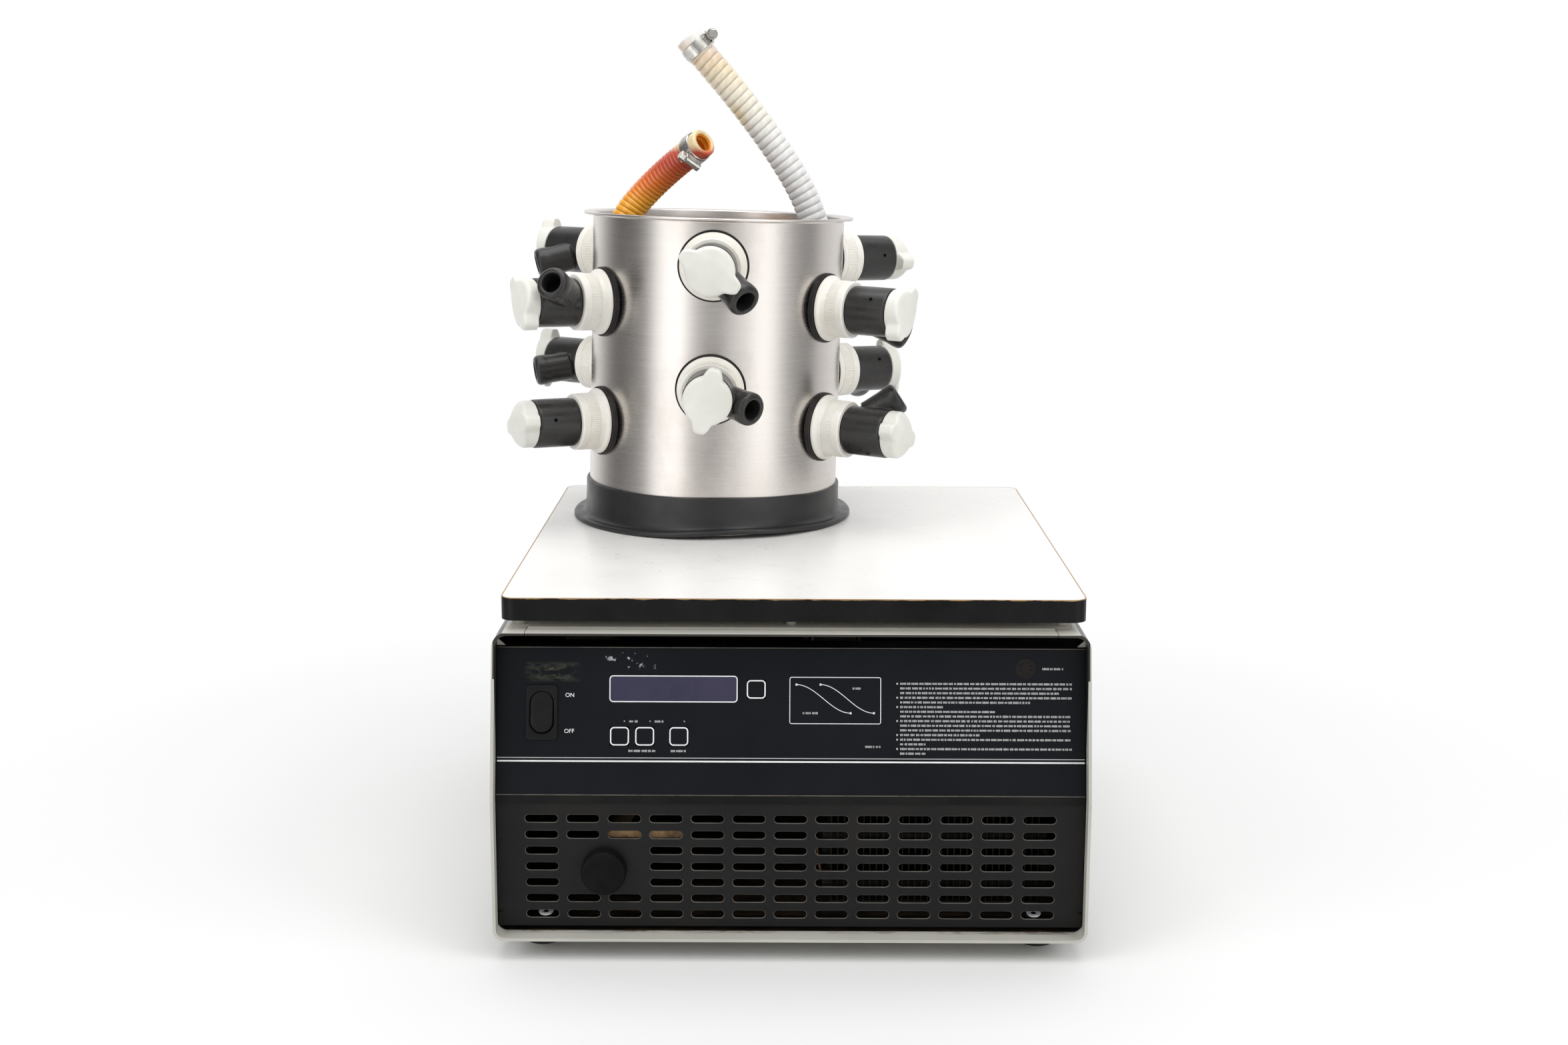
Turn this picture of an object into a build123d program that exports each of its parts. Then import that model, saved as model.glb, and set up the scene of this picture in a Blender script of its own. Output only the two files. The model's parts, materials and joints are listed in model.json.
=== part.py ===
from build123d import *
import os
from math import atan2, cos, degrees, pi, radians, sin, sqrt, tan

os.makedirs("parts", exist_ok=True)

# Benchtop freeze dryer: a cabinet with a cold trap well, a worktop board and a
# steel drying chamber with twelve rubber valves.
# X is right, Y is back and Z is up. The origin is at bench level, under the
# middle of the cabinet. All sizes are in millimetres.

# ---------------------------------------------------------------- cabinet
cab_w = 513.0  # width over the side walls
cab_d = 554.0  # depth from the knee of the front to the rear panel
cab_h = 267.3  # height of the shell itself
foot_h = 18.0  # from the bench to the underside of the shell
knee_up = 125.75  # height of the knee above the underside of the shell
setback = 28.3  # how far the upper front leans back
sheet = 1.5  # sheet metal of the shell and the panels
hem_t = 2.7  # folded front edge of the shell
hem_len = 12.0
top_r = 13.0  # bend between the side walls and the top
floor_r = 10.0  # bend between the side walls and the floor
top_return = 27.9  # width of each side wall's fold onto the top
seam_gap = 0.5
touch = 0.02  # hairline between two pieces that lie face to face
clear = 0.3  # gap between pieces that move past each other
slip = 0.08  # radial clearance of a running fit

z_floor = foot_h
z_top = foot_h + cab_h
z_knee = foot_h + knee_up
y_front = -cab_d / 2
y_rear = cab_d / 2
lean = atan2(setback, cab_h - knee_up)
half_in = cab_w / 2 - sheet
top_seam = cab_w / 2 - top_return

# ---------------------------------------------------------------- front panel
panel_in = 17.0  # how far the panel stands behind the front edge
panel_drop = 15.8  # from the top of the shell to the top of the panel
lip_h = 7.0  # upright lip under the knee
lip_lap = 2.5  # the grille ends this far below the knee
panel_flange = 22.0
grille_gap = 6.6  # opening under the grille
side_gap = 0.75  # between the panel and the side wall
panel_half = half_in - side_gap
y_panel = y_front + panel_in
panel_h = (cab_h - knee_up - panel_drop) / cos(lean)
film = 0.4  # printed control film
film_low = 0.6
film_high = panel_h - 2.0

slot_w = 28.3
slot_h = 6.75
slot_pitch_x = 35.87
slot_pitch_z = 14.45
slot_cols = 13
slot_rows = 7
slot_top = 21.35  # from the knee down to the first row
plug_col = 1.5  # the drain plug stands where columns 2 and 3 would be
plug_row = 3.2
plug_cols = (1, 2)
plug_rows = (2, 3, 4)

win_x = -101.4
win_s = 91.95
win_w = 108.8
win_h = 21.3
key_w = 16.2
key_h = 15.8
key_proud = 0.5
key_travel = 0.5
key_places = {
    "key_left": (-147.7, 51.2),
    "key_middle": (-126.0, 51.2),
    "key_right": (-96.6, 51.2),
    "key_menu": (-30.1, 91.9),
}
sw_x = 41.85 - cab_w / 2
sw_s = 71.5
sw_w = 27.1
sw_h = 47.4
sw_proud = 2.0
rocker_w = 19.8
rocker_h = 35.7
rocker_depth = 5.0  # pivot depth behind the face of the bezel
rocker_tilt = 8.0  # rest tilt, with the upper end pressed
rocker_v = 8.0  # slope of each half of the rocker
sock_x = cab_w / 2 - 54.2
sock_s = 110.9
sock_r = 8.8

# ---------------------------------------------------------------- worktop
riser_t = 1.8
riser_half = cab_w / 2 - 29.5
riser_front = y_front + 41.2
tab_half = cab_w / 2 - 13.8
tab_front = y_front + 48.0
riser_rear = y_rear - 15.0
spacer_in = 7.7  # from the end of a tab to the middle of its spacer
board_w = cab_w - 9.2
board_x = 1.95
board_front = y_front + 34.2
board_t = 20.0
board_lift = 8.8  # from the shell to the underside of the board
board_r = 12.0
band_t = 1.2
z_board = z_top + board_lift
z_work = z_board + board_t

# ---------------------------------------------------------------- cold trap
well_x = 174.3 - cab_w / 2
well_y = y_rear - 145.0
well_r = 60.0
well_wall = 1.2
well_depth = 168.0
well_rim = 15.0
coil_tube_r = 4.7
coil_pitch = 13.0
coil_turns = 5
coil_low = 44.0  # first turn above the bottom of the well
vac_up = 26.0  # vacuum port above the bottom of the well
foam_t = 26.0
foam_floor = 22.0
foam_h = 150.0

# ---------------------------------------------------------------- chamber
ch_r = 128.3
ch_wall = 1.5
ch_h = 311.3
ch_rim_w = 9.6  # width of the rim flange
ch_seat = 5.0  # chamber edge above the board, inside its gasket
ch_tip_x = 0.0245  # lean of the chamber to the right, per unit of height
ch_tip_y = 0.0087
gask_flange_w = 15.7  # flange of the gasket outside the chamber
gask_flange_t = 5.5
gask_wall = 3.2
gask_sleeve_h = 37.0
gask_in_w = 5.8  # inner lip of the gasket
ch_rim_r = ch_r + ch_rim_w
gask_flange_r = ch_r + gask_flange_w
gask_sleeve_r = ch_r + gask_wall
gask_in_r = ch_r - ch_wall - gask_in_w

# ---------------------------------------------------------------- ports
ring_r = 34.8
ring_t = 4.0
flange_r = 32.8
flange_t = 3.6
collar_r = 28.2
collar_len = 28.4
stub_r = 19.5
stub_len = 12.0
nut_r = stub_r + 6.5
nut_t = 8.0
flow_r = 9.5
window_r = 8.8  # side window in the knob's plug
body_r = 24.25
body_len = 44.0
stem_r = 21.5
stem_len = 19.0
plug_r = 15.0
plug_in = 4.0
spigot_r = 16.0
spigot_len = 62.2  # along its own axis, from the axis of the valve
spigot_back = 3.0  # where the spigot's axis leaves the valve axis
spigot_start = 21.2  # where the spigot's tube begins, along its axis
seat_at = 32.0  # shoulder in the spigot's bore that a flask tube stops on
seat_r = 7.5
knob_r = 23.3
knob_mid = 16.0  # length on the knob's axis, over the end of the body
knob_slant = 4.0  # rise of its face toward the low wing
face_half = 8.0  # half the flat band between the wings
face_fall = 15.0  # fall of the face on each side of that band
wing_r = 31.9
wing_w = 9.5
high_wing_from = 8.9
low_wing_from = 1.5

# azimuth, height above the board, spigot angle, angle of the low wing
ports = {
    "front_upper": (0.0, 265.4, -40.0, 149.0),
    "front_lower": (0.0, 145.6, -12.0, 77.0),
    "right_front_upper": (60.0, 223.0, -34.0, 226.0),
    "right_front_lower": (60.0, 103.0, 53.0, 164.0),
    "right_rear_upper": (120.0, 265.4, -10.0, 188.0),
    "right_rear_lower": (120.0, 145.6, -30.0, 70.0),
    "rear_upper": (180.0, 223.0, -75.0, 60.0),
    "rear_lower": (180.0, 103.0, -105.0, 75.0),
    "left_rear_upper": (-120.0, 265.4, -21.0, 95.0),
    "left_rear_lower": (-120.0, 145.6, -13.0, 92.0),
    "left_front_upper": (-60.0, 223.0, 31.5, 315.0),
    "left_front_lower": (-60.0, 103.0, 195.0, 13.0),
}

# ---------------------------------------------------------------- hose
hose_od = 29.4
hose_id = 19.0
clamp_back = 15.0
clamp_w = 13.0
clamp_t = 0.9
hose_points = [
    (-91.2, 104.0, 696.4),
    (-131.0, 133.0, 666.0),
    (-186.3, 135.0, 604.3),
    (-186.0, 134.5, 482.0),
    (-191.8, 133.0, 362.3),
    (-81.2, 132.6, 298.6),
    (29.6, 133.0, 362.3),
    (35.0, 134.5, 589.0),
    (-26.0, 135.0, 706.0),
    (-105.4, 134.0, 800.0),
]


def slope(up, out=0.0):
    """A point of the leaning upper panel, as Y and Z."""
    y = y_panel + up * sin(lean) - out * cos(lean)
    z = z_knee + up * cos(lean) + out * sin(lean)
    return (y, z)


panel = Plane(
    origin=(0, y_panel, z_knee), x_dir=(1, 0, 0), z_dir=(0, -cos(lean), sin(lean))
)


def save(part, label):
    part.label = label
    export_step(part, "parts/" + label + ".step")


# ------------------------------------------------------------------ shell
def cabinet_solid(inset, behind):
    """The cabinet's outside shape, inset all round, its front moved back."""
    half = cab_w / 2 - inset
    low = z_floor + inset
    high = z_top - inset
    with BuildPart() as block:
        with BuildSketch(Plane.XZ.offset(-y_rear - inset)):
            with BuildLine():
                Polyline((-half, low), (half, low), (half, high), (-half, high), close=True)
            make_face()
        extrude(amount=cab_d + 2 * inset + 40)
        along = block.edges().filter_by(Axis.Y)
        upper = along.filter_by_position(Axis.Z, high - 0.1, high + 0.1)
        fillet(upper, radius=top_r - inset)
        along = block.edges().filter_by(Axis.Y)
        lower = along.filter_by_position(Axis.Z, low - 0.1, low + 0.1)
        fillet(lower, radius=floor_r - inset)
        y0 = y_front + behind
        over = (z_top - z_knee) * 1.2
        with BuildSketch(Plane.YZ):
            with BuildLine():
                Polyline(
                    (y0, z_floor - 10),
                    (y0, z_knee),
                    (y0 + over * tan(lean), z_knee + over),
                    (y0 - 100, z_knee + over),
                    (y0 - 100, z_floor - 10),
                    close=True,
                )
            make_face()
        extrude(amount=cab_w, both=True, mode=Mode.SUBTRACT)
    return block.part


shell_outside = cabinet_solid(0.0, 0.0)
shell_hem_void = cabinet_solid(hem_t, -30.0)
shell_void = cabinet_solid(sheet, hem_len)

screw_zs = (z_floor + 20.0, z_floor + 139.0, z_floor + 242.0)
screw_back = 20.0
screw_shank = 1.9
screw_head = 4.5
screw_proud = 1.8
foot_x = cab_w / 2 - 38.0
foot_y = cab_d / 2 - 51.0
stud_r = 2.5


def front_y(z):
    """Y of the shell's front edge at a height."""
    return y_front + max(0.0, z - z_knee) * tan(lean)


with BuildPart() as shell:
    add(shell_outside)
    add(shell_hem_void, mode=Mode.SUBTRACT)
    add(shell_void, mode=Mode.SUBTRACT)
    with BuildSketch(Plane.XY.offset(z_top - 2 * hem_t)):
        Rectangle(2 * top_seam, 3 * cab_d)
    extrude(amount=4 * hem_t, mode=Mode.SUBTRACT)
    for z in screw_zs:
        with BuildSketch(Plane.YZ):
            with Locations((front_y(z) + screw_back, z)):
                Circle(screw_shank)
        extrude(amount=cab_w, both=True, mode=Mode.SUBTRACT)
    with BuildSketch(Plane.XY.offset(z_floor - 1)):
        with GridLocations(2 * foot_x, 2 * foot_y, 2, 2):
            Circle(stud_r)
    extrude(amount=sheet + 2, mode=Mode.SUBTRACT)

well_out = well_r + well_wall
with BuildPart() as top_panel:
    y_top = front_y(z_top)
    with BuildSketch(Plane.XY.offset(z_top)):
        with Locations((0, (y_top + y_rear) / 2)):
            Rectangle(2 * (top_seam - seam_gap), y_rear - y_top)
    extrude(amount=-sheet)
    with BuildSketch(Plane.XY.offset(z_top - sheet)):
        with Locations((0, y_top + hem_len / 2)):
            Rectangle(2 * (top_seam - seam_gap), hem_len)
    extrude(amount=-(hem_t - sheet))
    with BuildSketch(Plane.YZ):
        with BuildLine():
            Polyline(
                (y_top - 5, z_top + 1),
                (y_top + tan(lean), z_top + 1),
                (y_top - 4 * tan(lean), z_top - 4),
                (y_top - 5, z_top - 4),
                close=True,
            )
        make_face()
    extrude(amount=cab_w, both=True, mode=Mode.SUBTRACT)
    with BuildSketch(Plane.XY.offset(z_top - 5)):
        with Locations((well_x, well_y)):
            Circle(well_out + 1.0)
    extrude(amount=10, mode=Mode.SUBTRACT)

with BuildPart() as cabinet_shell:
    add(shell.part)
    add(top_panel.part)

# ------------------------------------------------------------------ front
y_back = y_panel + panel_flange
with BuildPart() as front_panel:
    top_out = slope(panel_h)
    top_in = slope(panel_h - sheet, -sheet)
    knee_in = slope(0, -sheet)
    with BuildSketch(Plane.YZ):
        with BuildLine():
            Polyline(
                (y_panel, z_knee - lip_h),
                (y_panel, z_knee),
                top_out,
                (top_out[0] + panel_flange, top_out[1]),
                (top_out[0] + panel_flange, top_out[1] - sheet),
                (top_in[0], top_out[1] - sheet),
                (y_panel + sheet, z_knee - sheet * tan(lean / 2)),
                (y_panel + sheet, z_knee - lip_h),
                close=True,
            )
        make_face()
    extrude(amount=panel_half, both=True)
    for side in (-1, 1):
        with BuildSketch(Plane.YZ.offset(side * panel_half)):
            with BuildLine():
                Polyline(
                    (y_panel + 2 * sheet, z_knee - lip_h),
                    (y_panel + 2 * sheet, z_knee - lip_lap),
                    (y_panel + sheet, z_knee - lip_lap),
                    (y_panel + sheet, z_knee),
                    top_in,
                    (top_in[0] + panel_flange - sheet, top_out[1] - sheet),
                    (y_back, z_knee - lip_h),
                    close=True,
                )
            make_face()
        extrude(amount=-side * sheet)
    with BuildSketch(panel.offset(5)):
        with Locations((sw_x, sw_s)):
            Rectangle(sw_w - 3.0, sw_h - 4.0)
        with Locations((win_x, win_s)):
            Rectangle(win_w, win_h)
        for kx, ks in key_places.values():
            with Locations((kx, ks)):
                Rectangle(key_w + 2 * clear, key_h + 2 * clear)
        with Locations((sock_x, sock_s)):
            Circle(sock_r)
    extrude(amount=-10, mode=Mode.SUBTRACT)
    for z in screw_zs[1:]:
        with BuildSketch(Plane.YZ):
            with Locations((front_y(z) + screw_back, z)):
                Circle(screw_shank)
        extrude(amount=cab_w, both=True, mode=Mode.SUBTRACT)
    soften = front_panel.edges().filter_by(Axis.X)
    top_edge = soften.filter_by_position(Axis.Z, top_out[1] - 0.1, top_out[1] + 0.1)
    top_edge = top_edge.filter_by_position(Axis.Y, top_out[0] - 0.1, top_out[0] + 0.1)
    fillet(top_edge, radius=1.4)

with BuildPart() as control_overlay:
    with BuildSketch(panel):
        with Locations((0, (film_low + film_high) / 2)):
            Rectangle(2 * (panel_half - 0.8), film_high - film_low)
        with Locations((sw_x, sw_s)):
            Rectangle(sw_w - 3.0, sw_h - 4.0, mode=Mode.SUBTRACT)
        with Locations((win_x, win_s)):
            Rectangle(win_w, win_h, mode=Mode.SUBTRACT)
        for kx, ks in key_places.values():
            with Locations((kx, ks)):
                Rectangle(key_w + 2 * clear, key_h + 2 * clear, mode=Mode.SUBTRACT)
        with Locations((sock_x, sock_s)):
            Circle(sock_r, mode=Mode.SUBTRACT)
    extrude(amount=film)

win_flange = 3.0
with BuildPart() as display_window:
    with BuildSketch(panel.offset(-sheet)):
        with Locations((win_x, win_s)):
            Rectangle(win_w, win_h)
    extrude(amount=sheet + film)
    with BuildSketch(panel.offset(-sheet)):
        with Locations((win_x, win_s)):
            Rectangle(win_w + 2 * win_flange, win_h + 2 * win_flange)
    extrude(amount=-1.5)

# ------------------------------------------------------------------ grille
z_grille_low = z_floor + grille_gap
y_grille = y_panel + sheet
grille_high = z_knee - lip_lap - clear
plug_x = -(slot_cols - 1) / 2 * slot_pitch_x + plug_col * slot_pitch_x
plug_z = z_knee - slot_top - plug_row * slot_pitch_z
plug_knob_r = 19.5
plug_hole_r = 15.0

with BuildPart() as intake_grille:
    with BuildSketch(Plane.XZ.offset(-y_grille - sheet)):
        with Locations((0, (z_grille_low + grille_high) / 2)):
            Rectangle(2 * panel_half, grille_high - z_grille_low)
        for col in range(slot_cols):
            for row in range(slot_rows):
                if col in plug_cols and row in plug_rows:
                    continue
                x = (col - (slot_cols - 1) / 2) * slot_pitch_x
                z = z_knee - slot_top - row * slot_pitch_z
                with Locations((x, z)):
                    SlotOverall(slot_w, slot_h, mode=Mode.SUBTRACT)
        with Locations((plug_x, plug_z)):
            Circle(plug_hole_r, mode=Mode.SUBTRACT)
    extrude(amount=sheet)
    for side in (-1, 1):
        with BuildSketch(Plane.YZ.offset(side * panel_half)):
            with BuildLine():
                Polyline(
                    (y_grille + sheet, z_grille_low),
                    (y_back, z_grille_low),
                    (y_back, z_knee - lip_h - clear),
                    (y_grille + sheet, z_knee - lip_h - clear),
                    close=True,
                )
            make_face()
        extrude(amount=-side * sheet)
    with BuildSketch(Plane.YZ):
        with Locations((front_y(screw_zs[0]) + screw_back, screw_zs[0])):
            Circle(screw_shank)
    extrude(amount=cab_w, both=True, mode=Mode.SUBTRACT)
    with BuildSketch(Plane.XY.offset(z_grille_low)):
        with Locations((0, (y_grille + y_back) / 2)):
            Rectangle(2 * panel_half, y_back - y_grille)
    extrude(amount=sheet)
    with BuildSketch(Plane.XY.offset(z_floor + sheet)):
        with Locations((0, y_back - sheet / 2)):
            Rectangle(2 * panel_half - 40, sheet)
    extrude(amount=grille_gap)

# ------------------------------------------------------------------ switch
sw_plane = Plane(
    origin=panel.from_local_coords(Vector(sw_x, sw_s, film)),
    x_dir=panel.x_dir,
    z_dir=panel.z_dir,
)
with BuildPart() as switch_housing:
    with BuildSketch(sw_plane):
        RectangleRounded(sw_w, sw_h, 2.0)
    extrude(amount=sw_proud)
    with BuildSketch(sw_plane):
        Rectangle(sw_w - 3.0 - 2 * touch, sw_h - 4.0 - 2 * touch)
    extrude(amount=-(film + 24.0))
    with BuildSketch(sw_plane.offset(sw_proud)):
        SlotOverall(rocker_h + 2 * clear, rocker_w + 2 * clear, rotation=90)
    extrude(amount=-(sw_proud + 21.0), mode=Mode.SUBTRACT)
    fillet(switch_housing.faces().sort_by(Axis.Y)[0].outer_wire().edges(), radius=0.8)

tilt = radians(rocker_tilt)
pivot = sw_plane.offset(sw_proud - rocker_depth)
rocker_plane = pivot.rotated((-rocker_tilt, 0, 0))
side_plane = Plane(
    origin=rocker_plane.origin, x_dir=rocker_plane.y_dir, z_dir=rocker_plane.x_dir
)
with BuildPart() as power_rocker:
    with BuildSketch(rocker_plane):
        SlotOverall(rocker_h, rocker_w, rotation=90)
        with Locations((0, -rocker_h / 2)):
            Rectangle(rocker_w * 2, rocker_h, mode=Mode.SUBTRACT)
    revolve(axis=Axis(rocker_plane.origin, rocker_plane.x_dir), revolution_arc=360)
    with BuildSketch(side_plane):
        with BuildLine():
            edge = rocker_h / 2 * 1.2
            peak = rocker_depth + 0.4
            wide = peak + edge * tan(radians(rocker_v))
            Polyline((0, peak), (edge, wide), (edge, 3 * edge), (-edge, 3 * edge), (-edge, wide), close=True)
        make_face()
        with BuildLine():
            Polyline((-edge, -9), (edge, -9), (edge, -3 * edge), (-edge, -3 * edge), close=True)
        make_face()
    extrude(amount=rocker_w, both=True, mode=Mode.SUBTRACT)

# ------------------------------------------------------------------ keys
key_shapes = {}
for label, (kx, ks) in key_places.items():
    with BuildPart() as key:
        with BuildSketch(panel.offset(film + key_proud)):
            with Locations((kx, ks)):
                RectangleRounded(key_w, key_h, 1.2)
        extrude(amount=-(film + key_proud + sheet + clear))
        with BuildSketch(panel.offset(-sheet - clear)):
            with Locations((kx, ks)):
                Rectangle(key_w + 3.0, key_h + 3.0)
        extrude(amount=-1.2)
    key_shapes[label] = key.part

# ------------------------------------------------------------------ control board
pcb_back = 9.0
pcb_t = 1.6
pcb_x0 = -172.0
pcb_x1 = 96.0
pcb_s0 = 34.0
pcb_s1 = 116.0
with BuildPart() as control_board:
    with BuildSketch(panel.offset(-pcb_back)):
        with Locations(((pcb_x0 + pcb_x1) / 2, (pcb_s0 + pcb_s1) / 2)):
            Rectangle(pcb_x1 - pcb_x0, pcb_s1 - pcb_s0)
    extrude(amount=-pcb_t)
    with BuildSketch(panel.offset(-pcb_back)):
        for x in (pcb_x0 + 6, pcb_x1 - 6):
            for s in (pcb_s0 + 6, pcb_s1 - 4):
                with Locations((x, s)):
                    Circle(3.0)
    extrude(amount=pcb_back - sheet)
    with BuildSketch(panel.offset(-pcb_back)):
        for kx, ks in key_places.values():
            with Locations((kx, ks)):
                Rectangle(6.0, 6.0)
    extrude(amount=pcb_back - sheet - clear - 1.2 - key_travel - clear)
    with BuildSketch(panel.offset(-pcb_back)):
        with Locations((win_x, win_s)):
            Rectangle(win_w - 4, win_h - 2)
    extrude(amount=pcb_back - sheet - 1.5 - clear)
    with BuildSketch(panel.offset(-pcb_back - pcb_t)):
        chips = ((-140, 90, 30, 12), (-90, 60, 18, 18), (-30, 88, 24, 14), (40, 80, 34, 20), (0, 50, 40, 10))
        for x, s, w, h in chips:
            with Locations((x, s)):
                Rectangle(w, h)
    extrude(amount=-6.0)

with BuildPart() as recorder_socket:
    with BuildSketch(panel.offset(-sheet)):
        with Locations((sock_x, sock_s)):
            Circle(sock_r + 2.5)
    extrude(amount=-3.0)
    with BuildSketch(panel.offset(-sheet)):
        with Locations((sock_x, sock_s)):
            Circle(sock_r - touch)
            Circle(7.4, mode=Mode.SUBTRACT)
    extrude(amount=sheet + film + 0.3)
    with BuildSketch(panel.offset(-sheet)):
        with Locations((sock_x, sock_s)):
            Circle(6.8)
            with PolarLocations(4.3, 8, start_angle=22.5):
                Circle(0.8, mode=Mode.SUBTRACT)
    extrude(amount=sheet + 0.1)
    with BuildSketch(panel.offset(-sheet - 3.0)):
        with Locations((sock_x, sock_s)):
            Circle(6.5)
    extrude(amount=-8.0)

# ------------------------------------------------------------------ drain plug
plug_reach = 9.0
plug_grip = 11.0
drain_seat = 26.0
with BuildPart() as drain_plug:
    face_y = y_grille - 0.3
    with BuildSketch(Plane.XZ.offset(-face_y)):
        with Locations((plug_x, plug_z)):
            Circle(plug_knob_r)
    extrude(amount=plug_grip)
    fillet(drain_plug.faces().sort_by(Axis.Y)[0].edges(), radius=2.0)
    with BuildSketch(Plane.XZ.offset(-face_y)):
        with Locations((plug_x, plug_z)):
            Circle(plug_reach)
    extrude(amount=-drain_seat)

# ------------------------------------------------------------------ feet and screws
foot_r = 19.0
foot_r_low = 16.5
with BuildPart() as feet:
    for x in (-foot_x, foot_x):
        for y in (-foot_y, foot_y):
            with BuildSketch(Plane(origin=(x, y, 0))):
                Circle(foot_r_low)
            with BuildSketch(Plane(origin=(x, y, foot_h))):
                Circle(foot_r)
            loft()

with BuildPart() as screws:
    for z in screw_zs:
        for side in (-1, 1):
            with BuildSketch(Plane.YZ.offset(side * cab_w / 2)):
                with Locations((front_y(z) + screw_back, z)):
                    Circle(screw_head)
            extrude(amount=side * screw_proud)
            with BuildSketch(Plane.YZ.offset(side * cab_w / 2)):
                with Locations((front_y(z) + screw_back, z)):
                    Circle(screw_shank - touch)
            extrude(amount=-side * 7.0)
    for x in (-foot_x, foot_x):
        for y in (-foot_y, foot_y):
            with BuildSketch(Plane(origin=(x, y, z_floor))):
                Circle(stud_r - touch)
            extrude(amount=sheet + 7.0)
            with BuildSketch(Plane(origin=(x, y, z_floor + sheet))):
                Circle(6.3)
            extrude(amount=1.2)
            with BuildSketch(Plane(origin=(x, y, z_floor + sheet + 1.2))):
                RegularPolygon(4.6, 6)
            extrude(amount=4.0)

# ------------------------------------------------------------------ worktop
spacer_r = 4.5
riser_cut = well_out + 3.0
with BuildPart() as riser_plate:
    with BuildSketch(Plane.XY.offset(z_top)):
        with Locations((0, (riser_front + riser_rear) / 2)):
            Rectangle(2 * riser_half, riser_rear - riser_front)
        with Locations((0, (tab_front + riser_rear) / 2)):
            Rectangle(2 * tab_half, riser_rear - tab_front)
        with Locations((well_x, well_y)):
            Circle(riser_cut, mode=Mode.SUBTRACT)
    extrude(amount=riser_t)
    with BuildSketch(Plane.XY.offset(z_top + riser_t)):
        for x in (spacer_in - tab_half, 0.0, tab_half - spacer_in):
            for y in (tab_front + 7.0, 0.0, riser_rear - 8.0):
                with Locations((x, y)):
                    Circle(spacer_r)
    extrude(amount=board_lift - riser_t)

board_y = (board_front + y_rear) / 2
board_d = y_rear - board_front
with BuildPart() as worktop_board:
    with BuildSketch(Plane.XY.offset(z_board)):
        with Locations((board_x, board_y)):
            RectangleRounded(board_w - 2 * band_t, board_d - 2 * band_t, board_r - band_t)
        with Locations((well_x, well_y)):
            Circle(well_out + 0.5, mode=Mode.SUBTRACT)
    extrude(amount=board_t)

with BuildPart() as worktop_edge_band:
    with BuildSketch(Plane.XY.offset(z_board)):
        with Locations((board_x, board_y)):
            RectangleRounded(board_w, board_d, board_r)
            RectangleRounded(
                board_w - 2 * band_t, board_d - 2 * band_t, board_r - band_t, mode=Mode.SUBTRACT
            )
    extrude(amount=board_t)

# ------------------------------------------------------------------ cold trap
z_well = z_work - well_depth
port_z = z_well + vac_up
pipe_r = 12.0
drain_r = 5.0
with BuildPart() as collector_well:
    with BuildSketch(Plane(origin=(well_x, well_y, z_well))):
        Circle(well_out)
    extrude(amount=well_depth + well_wall)
    with BuildSketch(Plane(origin=(well_x, well_y, z_well + well_wall))):
        Circle(well_r)
    extrude(amount=well_depth + well_wall, mode=Mode.SUBTRACT)
    with BuildSketch(Plane(origin=(well_x, well_y, z_work))):
        Circle(well_r + well_rim)
        Circle(well_r, mode=Mode.SUBTRACT)
    extrude(amount=well_wall)
    with BuildSketch(Plane(origin=(well_x, well_y, z_well))):
        Circle(drain_r)
    extrude(amount=-12.0)
    with BuildSketch(Plane(origin=(well_x, well_y, z_well + 2 * well_wall))):
        Circle(drain_r - 1.0)
    extrude(amount=-20.0, mode=Mode.SUBTRACT)

foam_in = well_out + 2 * coil_tube_r + 1.0
foam_out = foam_in + foam_t
z_foam = z_well - foam_floor
port_r = 9.0
with BuildPart() as collector_insulation:
    with BuildSketch(Plane(origin=(well_x, well_y, z_foam))):
        Circle(foam_out)
    extrude(amount=foam_h)
    with BuildSketch(Plane(origin=(well_x, well_y, z_well - touch))):
        Circle(foam_in)
    extrude(amount=foam_h, mode=Mode.SUBTRACT)
    with BuildSketch(Plane(origin=(well_x, well_y, z_foam - 1))):
        Circle(drain_r + clear)
    extrude(amount=foam_floor + 2, mode=Mode.SUBTRACT)
    for z in (z_well + coil_low, z_well + coil_low + coil_pitch * coil_turns):
        with BuildSketch(Plane(origin=(well_x, well_y, z), x_dir=(0, 1, 0), z_dir=(1, 0, 0))):
            Rectangle(26.0, 4 * coil_tube_r)
        extrude(amount=foam_out + 5, mode=Mode.SUBTRACT)
    with BuildSketch(Plane(origin=(well_x, well_y, port_z), x_dir=(1, 0, 0), z_dir=(0, 1, 0))):
        Circle(port_r + clear)
    extrude(amount=foam_out + 5, mode=Mode.SUBTRACT)

coil_r = well_out + coil_tube_r + 0.2
coil_z = z_well + coil_low
# ------------------------------------------------------------------ chamber
chamber = Plane(
    origin=(well_x, well_y, z_work),
    x_dir=(1, 0, -ch_tip_x),
    z_dir=(ch_tip_x, ch_tip_y, 1),
)
ch_in = ch_r - ch_wall
lip_t = 2.4


def from_chamber(x, y, z):
    """A direction or an offset given in the leaning chamber's own axes."""
    return chamber.from_local_coords(Vector(x, y, z)) - chamber.origin


def port_plane(azimuth, height, out):
    """The plane across a port, looking outward, at a distance from the axis."""
    a = radians(azimuth)
    return Plane(
        origin=chamber.origin + from_chamber(out * sin(a), -out * cos(a), height),
        x_dir=from_chamber(cos(a), sin(a), 0),
        z_dir=from_chamber(sin(a), -cos(a), 0),
    )


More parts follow.
